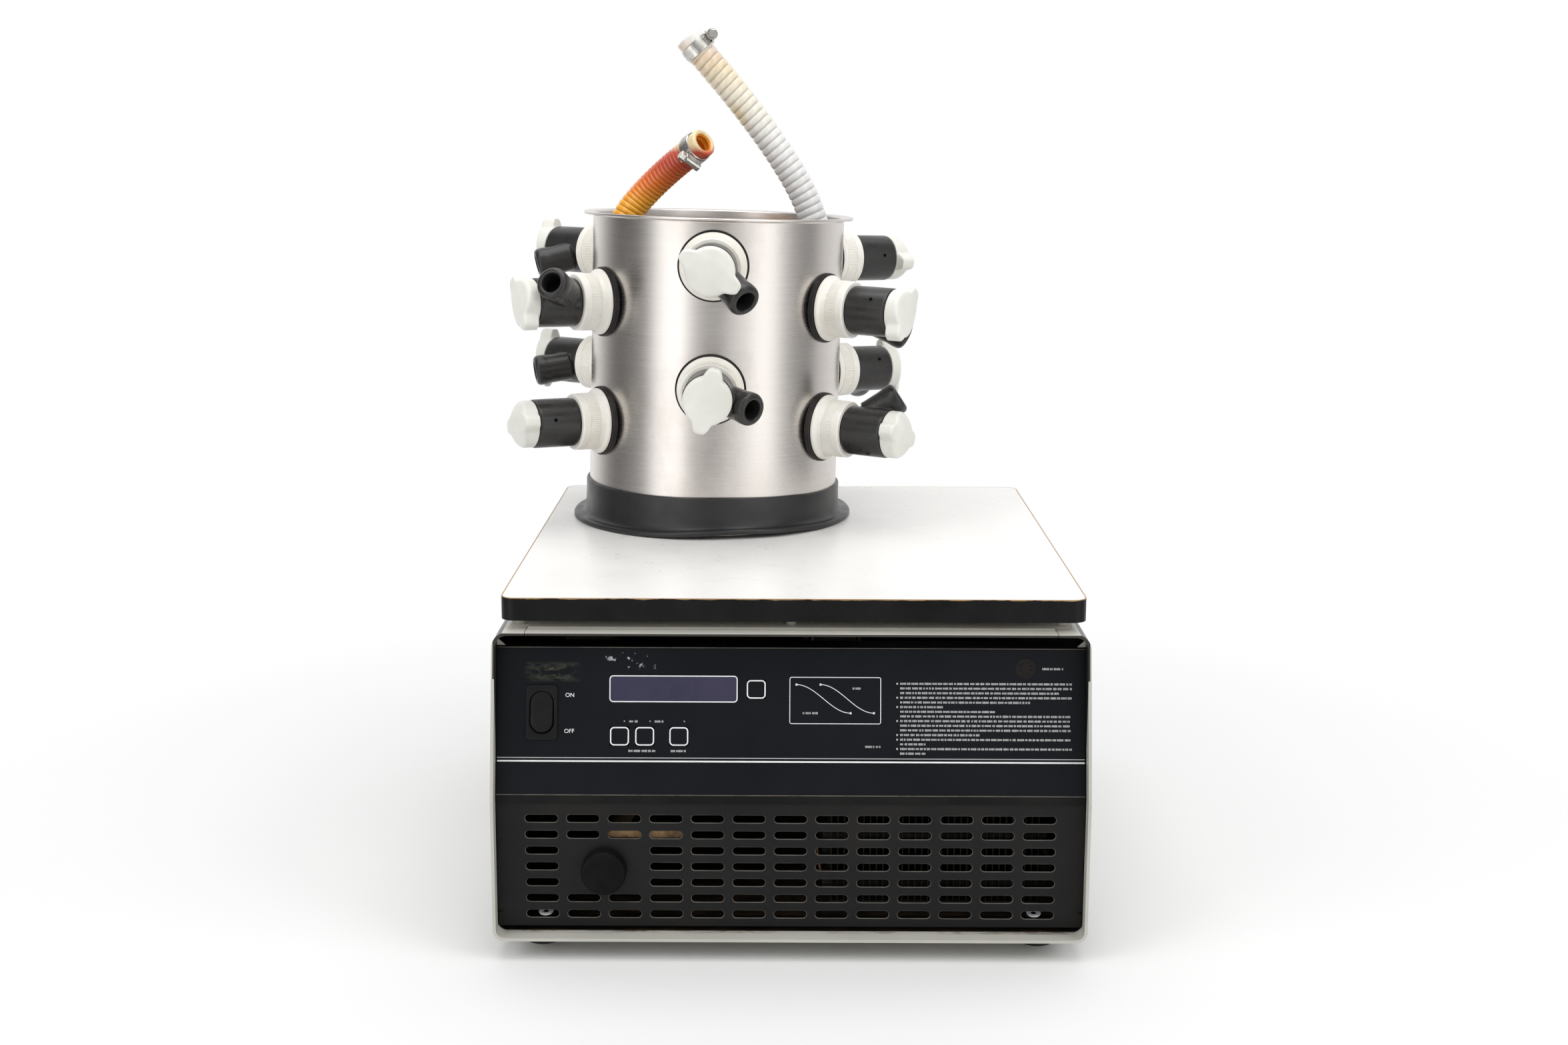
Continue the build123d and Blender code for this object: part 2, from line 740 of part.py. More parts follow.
with BuildPart() as drying_chamber:
    with BuildSketch(chamber.offset(ch_seat)):
        Circle(ch_r)
        Circle(ch_in, mode=Mode.SUBTRACT)
    extrude(amount=ch_h - ch_seat)
    with BuildSketch(chamber.offset(ch_h - lip_t)):
        Circle(ch_rim_r)
        Circle(ch_in, mode=Mode.SUBTRACT)
    extrude(amount=lip_t)
    rim_edges = drying_chamber.edges().filter_by(GeomType.CIRCLE)
    fillet(rim_edges.sort_by(SortBy.RADIUS)[-2:], radius=0.9)
    for azimuth, height, spigot_at, wing_at in ports.values():
        with BuildSketch(port_plane(azimuth, height, ch_r - 15)):
            Circle(stub_r)
        extrude(amount=30, mode=Mode.SUBTRACT)

with BuildPart() as chamber_gasket:
    with BuildSketch(Plane(origin=(well_x, well_y, z_work))):
        Circle(gask_flange_r)
        Circle(gask_in_r, mode=Mode.SUBTRACT)
    extrude(amount=gask_flange_t)
    with BuildSketch(chamber):
        Circle(gask_sleeve_r)
        Circle(ch_r, mode=Mode.SUBTRACT)
    extrude(amount=gask_sleeve_h)
    with BuildSketch(chamber):
        Circle(ch_r)
        Circle(gask_in_r + 0.5, mode=Mode.SUBTRACT)
    extrude(amount=ch_seat + 9.0)
    with BuildSketch(chamber.offset(ch_seat)):
        Circle(ch_r)
        Circle(ch_in, mode=Mode.SUBTRACT)
    extrude(amount=60, mode=Mode.SUBTRACT)
    with BuildSketch(Plane.XY.offset(z_work)):
        with Locations((well_x, well_y)):
            Circle(gask_flange_r * 1.2)
    extrude(amount=-20, mode=Mode.SUBTRACT)

# ------------------------------------------------------------------ ports
ring_out = ch_r + ring_t
collar_end = ring_out + collar_len
with BuildPart() as port_gaskets:
    for azimuth, height, spigot_at, wing_at in ports.values():
        with BuildSketch(port_plane(azimuth, height, ch_r - 9)):
            Circle(ring_r)
            Circle(stub_r, mode=Mode.SUBTRACT)
        extrude(amount=ring_t + 9)
    with BuildSketch(chamber):
        Circle(ch_r)
    extrude(amount=ch_h, mode=Mode.SUBTRACT)

with BuildPart() as port_collars:
    for azimuth, height, spigot_at, wing_at in ports.values():
        base = port_plane(azimuth, height, ring_out)
        with BuildSketch(base):
            Circle(flange_r)
        extrude(amount=flange_t)
        with BuildSketch(base):
            Circle(collar_r)
        extrude(amount=collar_len)
        with BuildSketch(base):
            Circle(stub_r - touch)
        extrude(amount=-(ring_t + ch_wall + stub_len))
        with BuildSketch(port_plane(azimuth, height, ch_in - nut_t)):
            Circle(nut_r)
            Circle(stub_r - touch, mode=Mode.SUBTRACT)
        extrude(amount=nut_t)
    with BuildSketch(chamber):
        Circle(ring_out - touch)
        Circle(ch_in, mode=Mode.SUBTRACT)
    extrude(amount=ch_h, mode=Mode.SUBTRACT)
    for azimuth, height, spigot_at, wing_at in ports.values():
        with BuildSketch(port_plane(azimuth, height, ring_out + touch)):
            Circle(stub_r - touch)
        extrude(amount=-(ring_t + ch_wall + stub_len))
    for azimuth, height, spigot_at, wing_at in ports.values():
        with BuildSketch(port_plane(azimuth, height, collar_end + 1)):
            Circle(stem_r + slip)
        extrude(amount=-(stem_len + 1.5), mode=Mode.SUBTRACT)
        with BuildSketch(port_plane(azimuth, height, collar_end)):
            Circle(flow_r + 2.5)
        extrude(amount=-80, mode=Mode.SUBTRACT)


def valve_body(azimuth, height, spigot_at):
    """The rubber body of one valve, with its angled spigot."""
    face = port_plane(azimuth, height, collar_end)
    a = radians(spigot_at)
    across = face.x_dir * cos(a) + face.y_dir * sin(a)
    spigot = Plane(
        origin=face.origin - face.z_dir * spigot_back,
        x_dir=face.z_dir.cross(across),
        z_dir=(face.z_dir + across) * (1 / sqrt(2)),
    )
    vent = Plane(
        origin=face.origin + face.z_dir * (0.74 * body_len),
        x_dir=face.z_dir,
        z_dir=across * -1,
    )
    with BuildPart() as body:
        with BuildSketch(face.offset(clear)):
            Circle(body_r)
        extrude(amount=body_len - clear)
        with BuildSketch(spigot.offset(spigot_start)):
            Circle(spigot_r)
        extrude(amount=spigot_len - spigot_start)
        with BuildSketch(face.offset(clear)):
            Circle(stem_r)
        extrude(amount=-(clear + stem_len))
        with BuildSketch(face.offset(-stem_len - 1)):
            Circle(flow_r)
        extrude(amount=stem_len, mode=Mode.SUBTRACT)
        with BuildSketch(face.offset(-plug_in)):
            Circle(plug_r + slip)
        extrude(amount=body_len + plug_in + 1, mode=Mode.SUBTRACT)
        with BuildSketch(spigot.offset(14)):
            Circle(seat_r)
        extrude(amount=spigot_len, mode=Mode.SUBTRACT)
        with BuildSketch(spigot.offset(seat_at)):
            Circle(flow_r)
        extrude(amount=spigot_len, mode=Mode.SUBTRACT)
        with BuildSketch(vent.offset(plug_r - 2)):
            Circle(1.5)
        extrude(amount=body_r, mode=Mode.SUBTRACT)
    return body.part


def valve_knob(azimuth, height, wing_at):
    """The plastic knob of one valve, with its plug and two wings."""
    base = port_plane(azimuth, height, collar_end + body_len + clear)
    a = radians(wing_at)
    low = base.x_dir * cos(a) + base.y_dir * sin(a)
    knob = Plane(origin=base.origin, x_dir=low, z_dir=base.z_dir)
    b = radians(120)
    window = knob.x_dir * cos(b) + knob.y_dir * sin(b)
    window_plane = Plane(
        origin=knob.origin - knob.z_dir * (body_len + clear + spigot_back),
        x_dir=knob.z_dir.cross(window),
        z_dir=(knob.z_dir + window) * (1 / sqrt(2)),
    )
    slant = tan(radians(knob_slant))
    fall = tan(radians(face_fall))
    reach = 2 * wing_r
    ridge = Plane(
        origin=knob.origin + knob.z_dir * knob_mid,
        x_dir=knob.y_dir,
        z_dir=(knob.x_dir + knob.z_dir * slant).normalized(),
    )
    with BuildPart() as shape:
        with BuildSketch(knob):
            Circle(knob_r)
        extrude(amount=knob_mid + 8)
        with BuildSketch(knob.offset(high_wing_from)):
            with Locations((-wing_r / 2, 0)):
                SlotOverall(wing_r + wing_w, wing_w)
            Circle(wing_r, mode=Mode.INTERSECT)
        extrude(amount=knob_mid + 8 - high_wing_from)
        with BuildSketch(knob.offset(low_wing_from)):
            with Locations((wing_r / 2, 0)):
                SlotOverall(wing_r + wing_w, wing_w)
            Circle(wing_r, mode=Mode.INTERSECT)
        extrude(amount=knob_mid + 8 - low_wing_from)
        with BuildSketch(ridge):
            with BuildLine():
                Polyline(
                    (-face_half, 0),
                    (face_half, 0),
                    (face_half + reach, -reach * fall),
                    (face_half + reach, reach),
                    (-face_half - reach, reach),
                    (-face_half - reach, -reach * fall),
                    close=True,
                )
            make_face()
        extrude(amount=reach, both=True, mode=Mode.SUBTRACT)
        with BuildSketch(knob.offset(low_wing_from)):
            with Locations((knob_r + 2.6, 0)):
                Rectangle(7.0, wing_w - 4.0)
        extrude(amount=knob_mid - low_wing_from - 3.0, mode=Mode.SUBTRACT)
        with BuildSketch(knob):
            Circle(plug_r)
        extrude(amount=-(body_len + clear + plug_in - clear))
        with BuildSketch(knob.offset(-(body_len + clear + plug_in))):
            Circle(flow_r)
        extrude(amount=0.62 * body_len, mode=Mode.SUBTRACT)
        with BuildSketch(window_plane):
            Circle(window_r)
        extrude(amount=2 * plug_r + 8, mode=Mode.SUBTRACT)
    return shape.part


# ------------------------------------------------------------------ hose
hose_path = [Vector(*p) for p in hose_points]


def bend_radii(points):
    """One radius for each corner, from its shorter run and its turn."""
    radii = []
    for before, corner, after in zip(points, points[1:], points[2:]):
        run_in = corner - before
        run_out = after - corner
        turn = radians(run_in.get_angle(run_out))
        radii.append(0.45 * min(run_in.length, run_out.length) / tan(turn / 2))
    return radii


hose_radii = bend_radii(hose_path)
print("hose bend radii", [round(r) for r in hose_radii])
with BuildPart() as hose:
    with BuildLine() as hose_line:
        FilletPolyline(*hose_points, radius=hose_radii)
    start = hose_line.line @ 0
    heading = hose_line.line % 0
    with BuildSketch(Plane(origin=start, z_dir=heading)):
        Circle(hose_od / 2)
        Circle(hose_id / 2, mode=Mode.SUBTRACT)
    sweep(path=hose_line.wire())
hose_length = hose_line.wire().length
section = pi * (hose_od ** 2 - hose_id ** 2) / 4
share = hose.part.volume / section / hose_length
print("hose length", round(hose_length, 1), "volume share", round(share, 4))


def clamp_plane(end, inner):
    """The plane across the hose at a clamp, looking toward the mouth."""
    along = (end - inner).normalized()
    up = Vector(0, 0, 1)
    return Plane(
        origin=end - along * (clamp_back + clamp_w / 2), x_dir=up.cross(along), z_dir=along
    )


clamp_planes = (
    (clamp_plane(hose_path[0], hose_path[1]), -50.0),
    (clamp_plane(hose_path[-1], hose_path[-2]), 200.0),
)
with BuildPart() as hose_clamps:
    for across, turn in clamp_planes:
        a = radians(turn)
        out = across.x_dir * cos(a) + across.y_dir * sin(a)
        band_in = hose_od / 2 + touch
        band_out = band_in + clamp_t
        housing = Plane(
            origin=across.origin + across.z_dir * (clamp_w / 2) + out * (band_out - 0.3),
            x_dir=across.z_dir.cross(out),
            z_dir=out,
        )
        worm = Plane(
            origin=housing.origin + out * 3.6 - housing.x_dir * 8.0,
            x_dir=out,
            z_dir=housing.x_dir,
        )
        with BuildSketch(across):
            Circle(band_out)
            Circle(band_in, mode=Mode.SUBTRACT)
        extrude(amount=clamp_w)
        with BuildSketch(housing):
            Rectangle(13.0, clamp_w - 1.0)
        extrude(amount=7.2)
        with BuildSketch(worm):
            Circle(3.2)
        extrude(amount=20.0)
        with BuildSketch(worm.offset(16.0)):
            RegularPolygon(4.0, 6)
        extrude(amount=5.0)

# ------------------------------------------------------------------ refrigeration
comp_x = cab_w / 2 - 106.5
comp_y = y_rear - 127.0
comp_r = 72.0
comp_z0 = z_floor + sheet + 16.0
comp_h = 165.0
comp_wall = 4.0
comp_core_r = 46.0
with BuildPart() as compressor:
    with BuildSketch(Plane(origin=(comp_x, comp_y, comp_z0))):
        Circle(comp_r)
    extrude(amount=comp_h)
    can_edges = compressor.edges().filter_by(GeomType.CIRCLE).sort_by(Axis.Z)
    fillet(can_edges[-1], radius=34.0)
    fillet(compressor.edges().filter_by(GeomType.CIRCLE).sort_by(Axis.Z)[0], radius=14.0)
    with BuildSketch(Plane(origin=(comp_x, comp_y, comp_z0 + 18.0))):
        Circle(comp_r - comp_wall)
        Circle(comp_core_r, mode=Mode.SUBTRACT)
    extrude(amount=comp_h - 52.0, mode=Mode.SUBTRACT)
    with BuildSketch(Plane(origin=(comp_x, comp_y, comp_z0 + comp_h * 0.5))):
        Circle(comp_r + 3.0)
    extrude(amount=4.0)
    with BuildSketch(Plane(origin=(comp_x, comp_y, comp_z0 - 3.0))):
        RectangleRounded(150.0, 120.0, 12.0)
    extrude(amount=4.0)
    with BuildSketch(Plane(origin=(comp_x, comp_y, z_floor + sheet))):
        with GridLocations(126.0, 96.0, 2, 2):
            Circle(9.0)
    extrude(amount=14.0)
    box_at = (comp_x - comp_r + 8, comp_y + 20, comp_z0 + 60)
    with BuildSketch(Plane(origin=box_at, x_dir=(0, 1, 0), z_dir=(-1, 0, 0))):
        Rectangle(40.0, 46.0)
    extrude(amount=16.0)

cond_x = cab_w / 2 - 126.5
cond_y = y_front + 97.0
cond_w = 190.0
cond_h = 150.0
cond_d = 40.0
cond_z0 = z_floor + sheet
fins = 33
fin_t = 0.8
tube_r = 4.0
with BuildPart() as condenser:
    with BuildSketch(Plane(origin=(cond_x, cond_y, cond_z0 + 4.0))):
        with GridLocations((cond_w - 4.0) / (fins - 1), 0, fins, 1):
            Rectangle(fin_t, cond_d)
    extrude(amount=cond_h - 8.0)
    for low in (cond_z0, cond_z0 + cond_h - 4.0):
        with BuildSketch(Plane(origin=(cond_x, cond_y, low))):
            Rectangle(cond_w, cond_d)
        extrude(amount=4.0)
    for row in range(6):
        for col in (-1, 1):
            z = cond_z0 + 18.0 + row * 23.0
            tube_at = (cond_x - cond_w / 2 - 6, cond_y + col * 10.0, z)
            with BuildSketch(Plane(origin=tube_at, x_dir=(0, 1, 0), z_dir=(1, 0, 0))):
                Circle(tube_r)
            extrude(amount=cond_w + 12)

fan_x = cond_x
fan_z = cond_z0 + cond_h / 2
fan_r = 66.0
shaft_r = 4.0
shroud_y = cond_y + cond_d / 2 + 1.0
motor_y = shroud_y + 46.0
with BuildPart() as fan_motor:
    with BuildSketch(Plane(origin=(fan_x, shroud_y, fan_z), x_dir=(-1, 0, 0), z_dir=(0, 1, 0))):
        Rectangle(cond_w, cond_h)
        Circle(fan_r + 3.0, mode=Mode.SUBTRACT)
    extrude(amount=1.2)
    with BuildSketch(Plane(origin=(fan_x, shroud_y, fan_z), x_dir=(-1, 0, 0), z_dir=(0, 1, 0))):
        Circle(fan_r + 4.2)
        Circle(fan_r + 3.0, mode=Mode.SUBTRACT)
    extrude(amount=26.0)
    with BuildSketch(Plane(origin=(fan_x, motor_y, fan_z), x_dir=(-1, 0, 0), z_dir=(0, 1, 0))):
        Circle(30.0)
    extrude(amount=48.0)
    fillet(fan_motor.faces().sort_by(Axis.Y)[-1].edges(), radius=6.0)
    with BuildSketch(Plane(origin=(fan_x, motor_y, fan_z), x_dir=(-1, 0, 0), z_dir=(0, 1, 0))):
        Circle(shaft_r)
    extrude(amount=-30.0)
    with BuildSketch(Plane(origin=(fan_x, motor_y + 12.0, z_floor + sheet))):
        Rectangle(56.0, 3.0)
    extrude(amount=fan_z - 24.0 - z_floor - sheet)
    with BuildSketch(Plane(origin=(fan_x, motor_y + 24.0, z_floor + sheet))):
        Rectangle(56.0, 27.0)
    extrude(amount=2.0)

hub_r = 17.0
blade_count = 5
blade_y = motor_y - 24.0
with BuildPart() as fan_blade:
    with BuildSketch(Plane(origin=(fan_x, blade_y, fan_z), x_dir=(-1, 0, 0), z_dir=(0, 1, 0))):
        Circle(hub_r)
        Circle(shaft_r + 0.05, mode=Mode.SUBTRACT)
    extrude(amount=20.0)
    for blade in range(blade_count):
        a = 2 * pi * blade / blade_count
        out = Vector(cos(a), 0, sin(a))
        twist = radians(32)
        turn_dir = Vector(0, 1, 0).cross(out)
        chord = turn_dir * cos(twist) + Vector(0, 1, 0) * sin(twist)
        hub = Vector(fan_x, blade_y + 10.0, fan_z)
        root = Plane(origin=hub + out * (hub_r - 1.5), x_dir=chord, z_dir=out)
        with BuildSketch(root):
            Rectangle(24.0, 2.0)
        with BuildSketch(root.offset(fan_r - hub_r - 1.0)):
            Rectangle(34.0, 1.6)
        loft()
    with BuildSketch(Plane(origin=(fan_x, blade_y - 10, fan_z), x_dir=(-1, 0, 0), z_dir=(0, 1, 0))):
        Circle(fan_r)
    extrude(amount=40.0, mode=Mode.INTERSECT)

# ------------------------------------------------------------------ lines
line_r = 4.0


def tube(points, outer, inner=0.0, bend=0.9):
    """A tube along straight runs with rounded corners."""
    path_points = [Vector(*p) for p in points]
    with BuildPart() as run:
        with BuildLine() as route:
            if len(points) > 2:
                radii = [min(r * bend / 0.45 * 0.45, 4 * outer) for r in bend_radii(path_points)]
                FilletPolyline(*points, radius=radii)
            else:
                Line(*points)
        with BuildSketch(Plane(origin=route.line @ 0, z_dir=route.line % 0)):
            Circle(outer)
            if inner > 0:
                Circle(inner, mode=Mode.SUBTRACT)
        sweep(path=route.wire())
    return run.part


suction_z = coil_z + coil_turns * coil_pitch
comp_top = comp_z0 + comp_h
coil_out = coil_r + coil_tube_r + touch
suction = tube(
    [
        (well_x + coil_out, well_y, suction_z),
        (well_x + foam_out + 22, well_y, suction_z),
        (comp_x - comp_r - 14, comp_y - 60, suction_z - 20),
        (comp_x - comp_r + 10, comp_y - 60, comp_z0 + 70),
        (comp_x - 30, comp_y - 55, comp_z0 + 60),
    ],
    line_r,
)
liquid = tube(
    [
        (well_x + coil_out, well_y, coil_z),
        (well_x + foam_out + 10, well_y, coil_z),
        (cond_x - cond_w / 2 - 30, cond_y + 200, coil_z - 40),
        (cond_x - cond_w / 2 - 26, cond_y + 80, coil_z - 40),
        (cond_x - cond_w / 2 - 6, cond_y + 10, cond_z0 + 18),
    ],
    line_r * 0.7,
)
discharge = tube(
    [
        (comp_x + 30, comp_y - 50, comp_z0 + 120),
        (comp_x + 30, comp_y - 100, comp_z0 + 120),
        (cond_x + cond_w / 2 + 14, cond_y + 140, comp_z0 + 120),
        (cond_x + cond_w / 2 + 14, cond_y + 60, cond_z0 + 133),
        (cond_x + cond_w / 2 + 6, cond_y + 10, cond_z0 + 133),
    ],
    line_r,
)
with BuildPart() as evaporator_coil:
    add(suction)
    add(liquid)
    add(discharge)
    add(compressor.part, mode=Mode.SUBTRACT)
    add(condenser.part, mode=Mode.SUBTRACT)
    with BuildLine() as helix:
        Helix(coil_pitch, coil_pitch * coil_turns, coil_r, center=(well_x, well_y, coil_z))
    with BuildSketch(Plane(origin=helix.line @ 0, z_dir=helix.line % 0)):
        Circle(coil_tube_r)
    sweep(path=helix.wire(), is_frenet=True)

drain_end_y = y_grille + drain_seat + 1.0
drain_bore = plug_reach + clear
with BuildPart() as drain_line:
    add(
        tube(
            [
                (well_x, well_y, z_well - 2.0 - foam_floor),
                (well_x, well_y, z_well - foam_floor - 26.0),
                (well_x - 20, well_y - 60, z_well - foam_floor - 34.0),
                (plug_x + 36, -60.0, plug_z + 30.0),
                (plug_x, drain_end_y + 60.0, plug_z),
                (plug_x, drain_end_y, plug_z),
            ],
            drain_r + 3.0,
            drain_r,
            0.45,
        )
    )
    with BuildSketch(Plane.XZ.offset(-drain_end_y - 6.0)):
        with Locations((plug_x, plug_z)):
            Circle(plug_hole_r - 0.5)
    extrude(amount=6.0 + drain_end_y - y_grille - sheet + sheet)
    with BuildSketch(Plane.XZ.offset(-y_grille - sheet - 3.0)):
        with Locations((plug_x, plug_z)):
            Circle(plug_knob_r)
    extrude(amount=3.0)
    with BuildSketch(Plane.XZ.offset(-y_grille - drain_seat)):
        with Locations((plug_x, plug_z)):
            Circle(drain_bore)
    extrude(amount=drain_seat + 5.0, mode=Mode.SUBTRACT)
    with BuildSketch(Plane.XZ.offset(-y_grille - drain_seat - 30)):
        with Locations((plug_x, plug_z)):
            Circle(drain_r)
    extrude(amount=60.0, mode=Mode.SUBTRACT)

barb_out = 38.0
barb_r = 9.5
with BuildPart() as vacuum_line:
    pipe_at = (well_x, well_y + well_out - 1.0, port_z)
    with BuildSketch(Plane(origin=pipe_at, x_dir=(1, 0, 0), z_dir=(0, 1, 0))):
        Circle(port_r)
    extrude(amount=y_rear + barb_out - well_y - well_out + 1.0)
    for step in (8.0, 18.0, 28.0):
        with BuildSketch(Plane(origin=(well_x, y_rear + step, port_z), x_dir=(1, 0, 0), z_dir=(0, 1, 0))):
            Circle(barb_r + 0.9)
        ridge_at = (well_x, y_rear + step + 7.0, port_z)
        with BuildSketch(Plane(origin=ridge_at, x_dir=(1, 0, 0), z_dir=(0, 1, 0))):
            Circle(barb_r - 0.4)
        loft()
    with BuildSketch(Plane(origin=(well_x, y_rear, port_z), x_dir=(1, 0, 0), z_dir=(0, 1, 0))):
        RegularPolygon(16.0, 6)
    extrude(amount=5.0)
    with BuildSketch(Plane(origin=(well_x, y_rear - sheet, port_z), x_dir=(1, 0, 0), z_dir=(0, 1, 0))):
        RegularPolygon(16.0, 6)
    extrude(amount=-5.0)
    with BuildSketch(Plane(origin=(well_x, well_y, port_z), x_dir=(1, 0, 0), z_dir=(0, 1, 0))):
        Circle(port_r - 2.0)
    extrude(amount=y_rear + barb_out, mode=Mode.SUBTRACT)
    with BuildSketch(Plane(origin=(well_x, well_y, z_well))):
        Circle(well_out)
    extrude(amount=well_depth, mode=Mode.SUBTRACT)

inlet_x = cab_w / 2 - 66.5
inlet_z = 70.0
with BuildPart() as power_inlet:
    with BuildSketch(Plane(origin=(inlet_x, y_rear, inlet_z), x_dir=(-1, 0, 0), z_dir=(0, 1, 0))):
        RectangleRounded(50.0, 32.0, 3.0)
        Rectangle(24.6, 17.0, mode=Mode.SUBTRACT)
    extrude(amount=2.5)
    with BuildSketch(Plane(origin=(inlet_x, y_rear, inlet_z), x_dir=(-1, 0, 0), z_dir=(0, 1, 0))):
        Rectangle(28.0, 20.0)
        Rectangle(24.6, 17.0, mode=Mode.SUBTRACT)
    extrude(amount=-20.0)
    with BuildSketch(Plane(origin=(inlet_x, y_rear - 20.0, inlet_z), x_dir=(-1, 0, 0), z_dir=(0, 1, 0))):
        Rectangle(28.0, 20.0)
    extrude(amount=-3.0)
    with BuildSketch(Plane(origin=(inlet_x, y_rear - 20.0, inlet_z), x_dir=(-1, 0, 0), z_dir=(0, 1, 0))):
        with Locations((-7.0, -2.0), (7.0, -2.0), (0.0, 2.5)):
            Rectangle(2.0, 4.0)
    extrude(amount=15.0)

with BuildPart() as rear_panel:
    with BuildSketch(Plane(origin=(0, y_rear, 0), x_dir=(-1, 0, 0), z_dir=(0, 1, 0))):
        with Locations((0, (z_floor + z_top) / 2)):
            Rectangle(2 * half_in - 2 * touch, cab_h - 2 * sheet - 2 * touch)
        with Locations((-well_x, port_z)):
            Circle(port_r + touch, mode=Mode.SUBTRACT)
        with Locations((-inlet_x, inlet_z)):
            Rectangle(28.0 + 2 * touch, 20.0 + 2 * touch, mode=Mode.SUBTRACT)
        with Locations((-comp_x, 200.0)):
            with GridLocations(26.0, 12.0, 6, 7):
                SlotOverall(20.0, 5.0, mode=Mode.SUBTRACT)
    extrude(amount=-sheet)
    along = rear_panel.edges().filter_by(Axis.Y)
    upper = along.filter_by_position(Axis.Z, z_top - sheet - 1, z_top)
    fillet(upper, radius=top_r - sheet)
    along = rear_panel.edges().filter_by(Axis.Y)
    lower = along.filter_by_position(Axis.Z, z_floor, z_floor + sheet + 1)
    fillet(lower, radius=floor_r - sheet)

save(cabinet_shell.part, "shell")
save(front_panel.part, "front_panel")
save(control_overlay.part, "control_overlay")
save(display_window.part, "display_window")
save(intake_grille.part, "intake_grille")
save(switch_housing.part, "switch_housing")
save(power_rocker.part, "power_rocker")
for label, shape in key_shapes.items():
    save(shape, label)
save(control_board.part, "control_board")
save(recorder_socket.part, "recorder_socket")
save(drain_plug.part, "drain_plug")
save(feet.part, "feet")
save(screws.part, "screws")
save(riser_plate.part, "riser_plate")
save(worktop_board.part, "worktop_board")
save(worktop_edge_band.part, "worktop_edge_band")
save(collector_well.part, "collector_well")
save(collector_insulation.part, "collector_insulation")
save(drying_chamber.part, "drying_chamber")
save(chamber_gasket.part, "chamber_gasket")
save(port_gaskets.part, "port_gaskets")
save(port_collars.part, "port_collars")
for label, (azimuth, height, spigot_at, wing_at) in ports.items():
    save(valve_body(azimuth, height, spigot_at), "valve_body_" + label)
    save(valve_knob(azimuth, height, wing_at), "valve_knob_" + label)
save(hose.part, "hose")
save(hose_clamps.part, "hose_clamps")
save(compressor.part, "compressor")
save(condenser.part, "condenser")
save(evaporator_coil.part, "evaporator_coil")
save(fan_motor.part, "fan_motor")
save(fan_blade.part, "fan_blade")
save(drain_line.part, "drain_line")
save(vacuum_line.part, "vacuum_line")
save(power_inlet.part, "power_inlet")
save(rear_panel.part, "rear_panel")
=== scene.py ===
import json
import math
import random

import bmesh
import bpy
from mathutils import Matrix, Vector

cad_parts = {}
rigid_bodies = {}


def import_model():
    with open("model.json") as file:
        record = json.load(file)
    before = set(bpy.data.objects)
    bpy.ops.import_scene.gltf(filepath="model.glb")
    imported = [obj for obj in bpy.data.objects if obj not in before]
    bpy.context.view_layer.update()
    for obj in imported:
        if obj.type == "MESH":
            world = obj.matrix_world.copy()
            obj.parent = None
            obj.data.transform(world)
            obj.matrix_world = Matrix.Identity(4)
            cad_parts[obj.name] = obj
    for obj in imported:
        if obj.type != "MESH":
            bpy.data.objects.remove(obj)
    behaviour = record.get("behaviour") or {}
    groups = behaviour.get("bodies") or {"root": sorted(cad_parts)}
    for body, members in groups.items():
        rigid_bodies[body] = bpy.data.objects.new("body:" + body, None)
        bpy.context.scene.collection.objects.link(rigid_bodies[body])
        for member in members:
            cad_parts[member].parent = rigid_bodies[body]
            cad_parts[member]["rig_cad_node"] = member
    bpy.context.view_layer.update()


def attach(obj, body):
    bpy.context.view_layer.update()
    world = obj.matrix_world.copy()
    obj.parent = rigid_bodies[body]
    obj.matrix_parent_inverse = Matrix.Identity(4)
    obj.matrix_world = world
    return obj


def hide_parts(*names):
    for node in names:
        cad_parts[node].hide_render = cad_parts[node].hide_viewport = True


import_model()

scene = bpy.context.scene
MM = 0.001
pi = math.pi
sin, cos, tan, sqrt, radians = math.sin, math.cos, math.tan, math.sqrt, math.radians

# ---- sizes, as in the CAD model
Y_FRONT, Z_KNEE, Z_WORK = -277.0, 143.75, 314.1
LEAN = math.atan2(28.3, 141.55)
Y_PANEL = Y_FRONT + 17.0
WELL = Vector((-82.2, 132.0, Z_WORK))
CH_R, CH_IN = 128.3, 126.8
RING_OUT = CH_R + 4.0
COLLAR_END = RING_OUT + 28.4
# Each port: its azimuth, its height, the turn of its spigot and the turn of its knob.
PORTS = {
    "front_upper": (0.0, 265.4, -40.0, 149.0),
    "front_lower": (0.0, 145.6, -12.0, 77.0),
    "right_front_upper": (60.0, 223.0, -34.0, 226.0),
    "right_front_lower": (60.0, 103.0, 53.0, 164.0),
    "right_rear_upper": (120.0, 265.4, -10.0, 188.0),
    "right_rear_lower": (120.0, 145.6, -30.0, 70.0),
    "rear_upper": (180.0, 223.0, -75.0, 60.0),
    "rear_lower": (180.0, 103.0, -105.0, 75.0),
    "left_rear_upper": (-120.0, 265.4, -21.0, 95.0),
    "left_rear_lower": (-120.0, 145.6, -13.0, 92.0),
    "left_front_upper": (-60.0, 223.0, 31.5, 315.0),
    "left_front_lower": (-60.0, 103.0, 195.0, 13.0),
}

# ---- camera
cam_data = bpy.data.cameras.new("camera")
camera = bpy.data.objects.new("camera", cam_data)
scene.collection.objects.link(camera)
cam_data.sensor_width = 36.0
cam_data.lens = 43.05
cam_data.shift_y = -0.0468
cam_data.clip_end = 60.0
camera.location = (-0.00705, -1.8018, 0.7070)
DOWN, YAW = 9.57, 0.24
aim = Matrix.Rotation(radians(90 - DOWN), 3, "X") @ Matrix.Rotation(radians(YAW), 3, "Z")
camera.rotation_euler = aim.to_euler()
scene.camera = camera

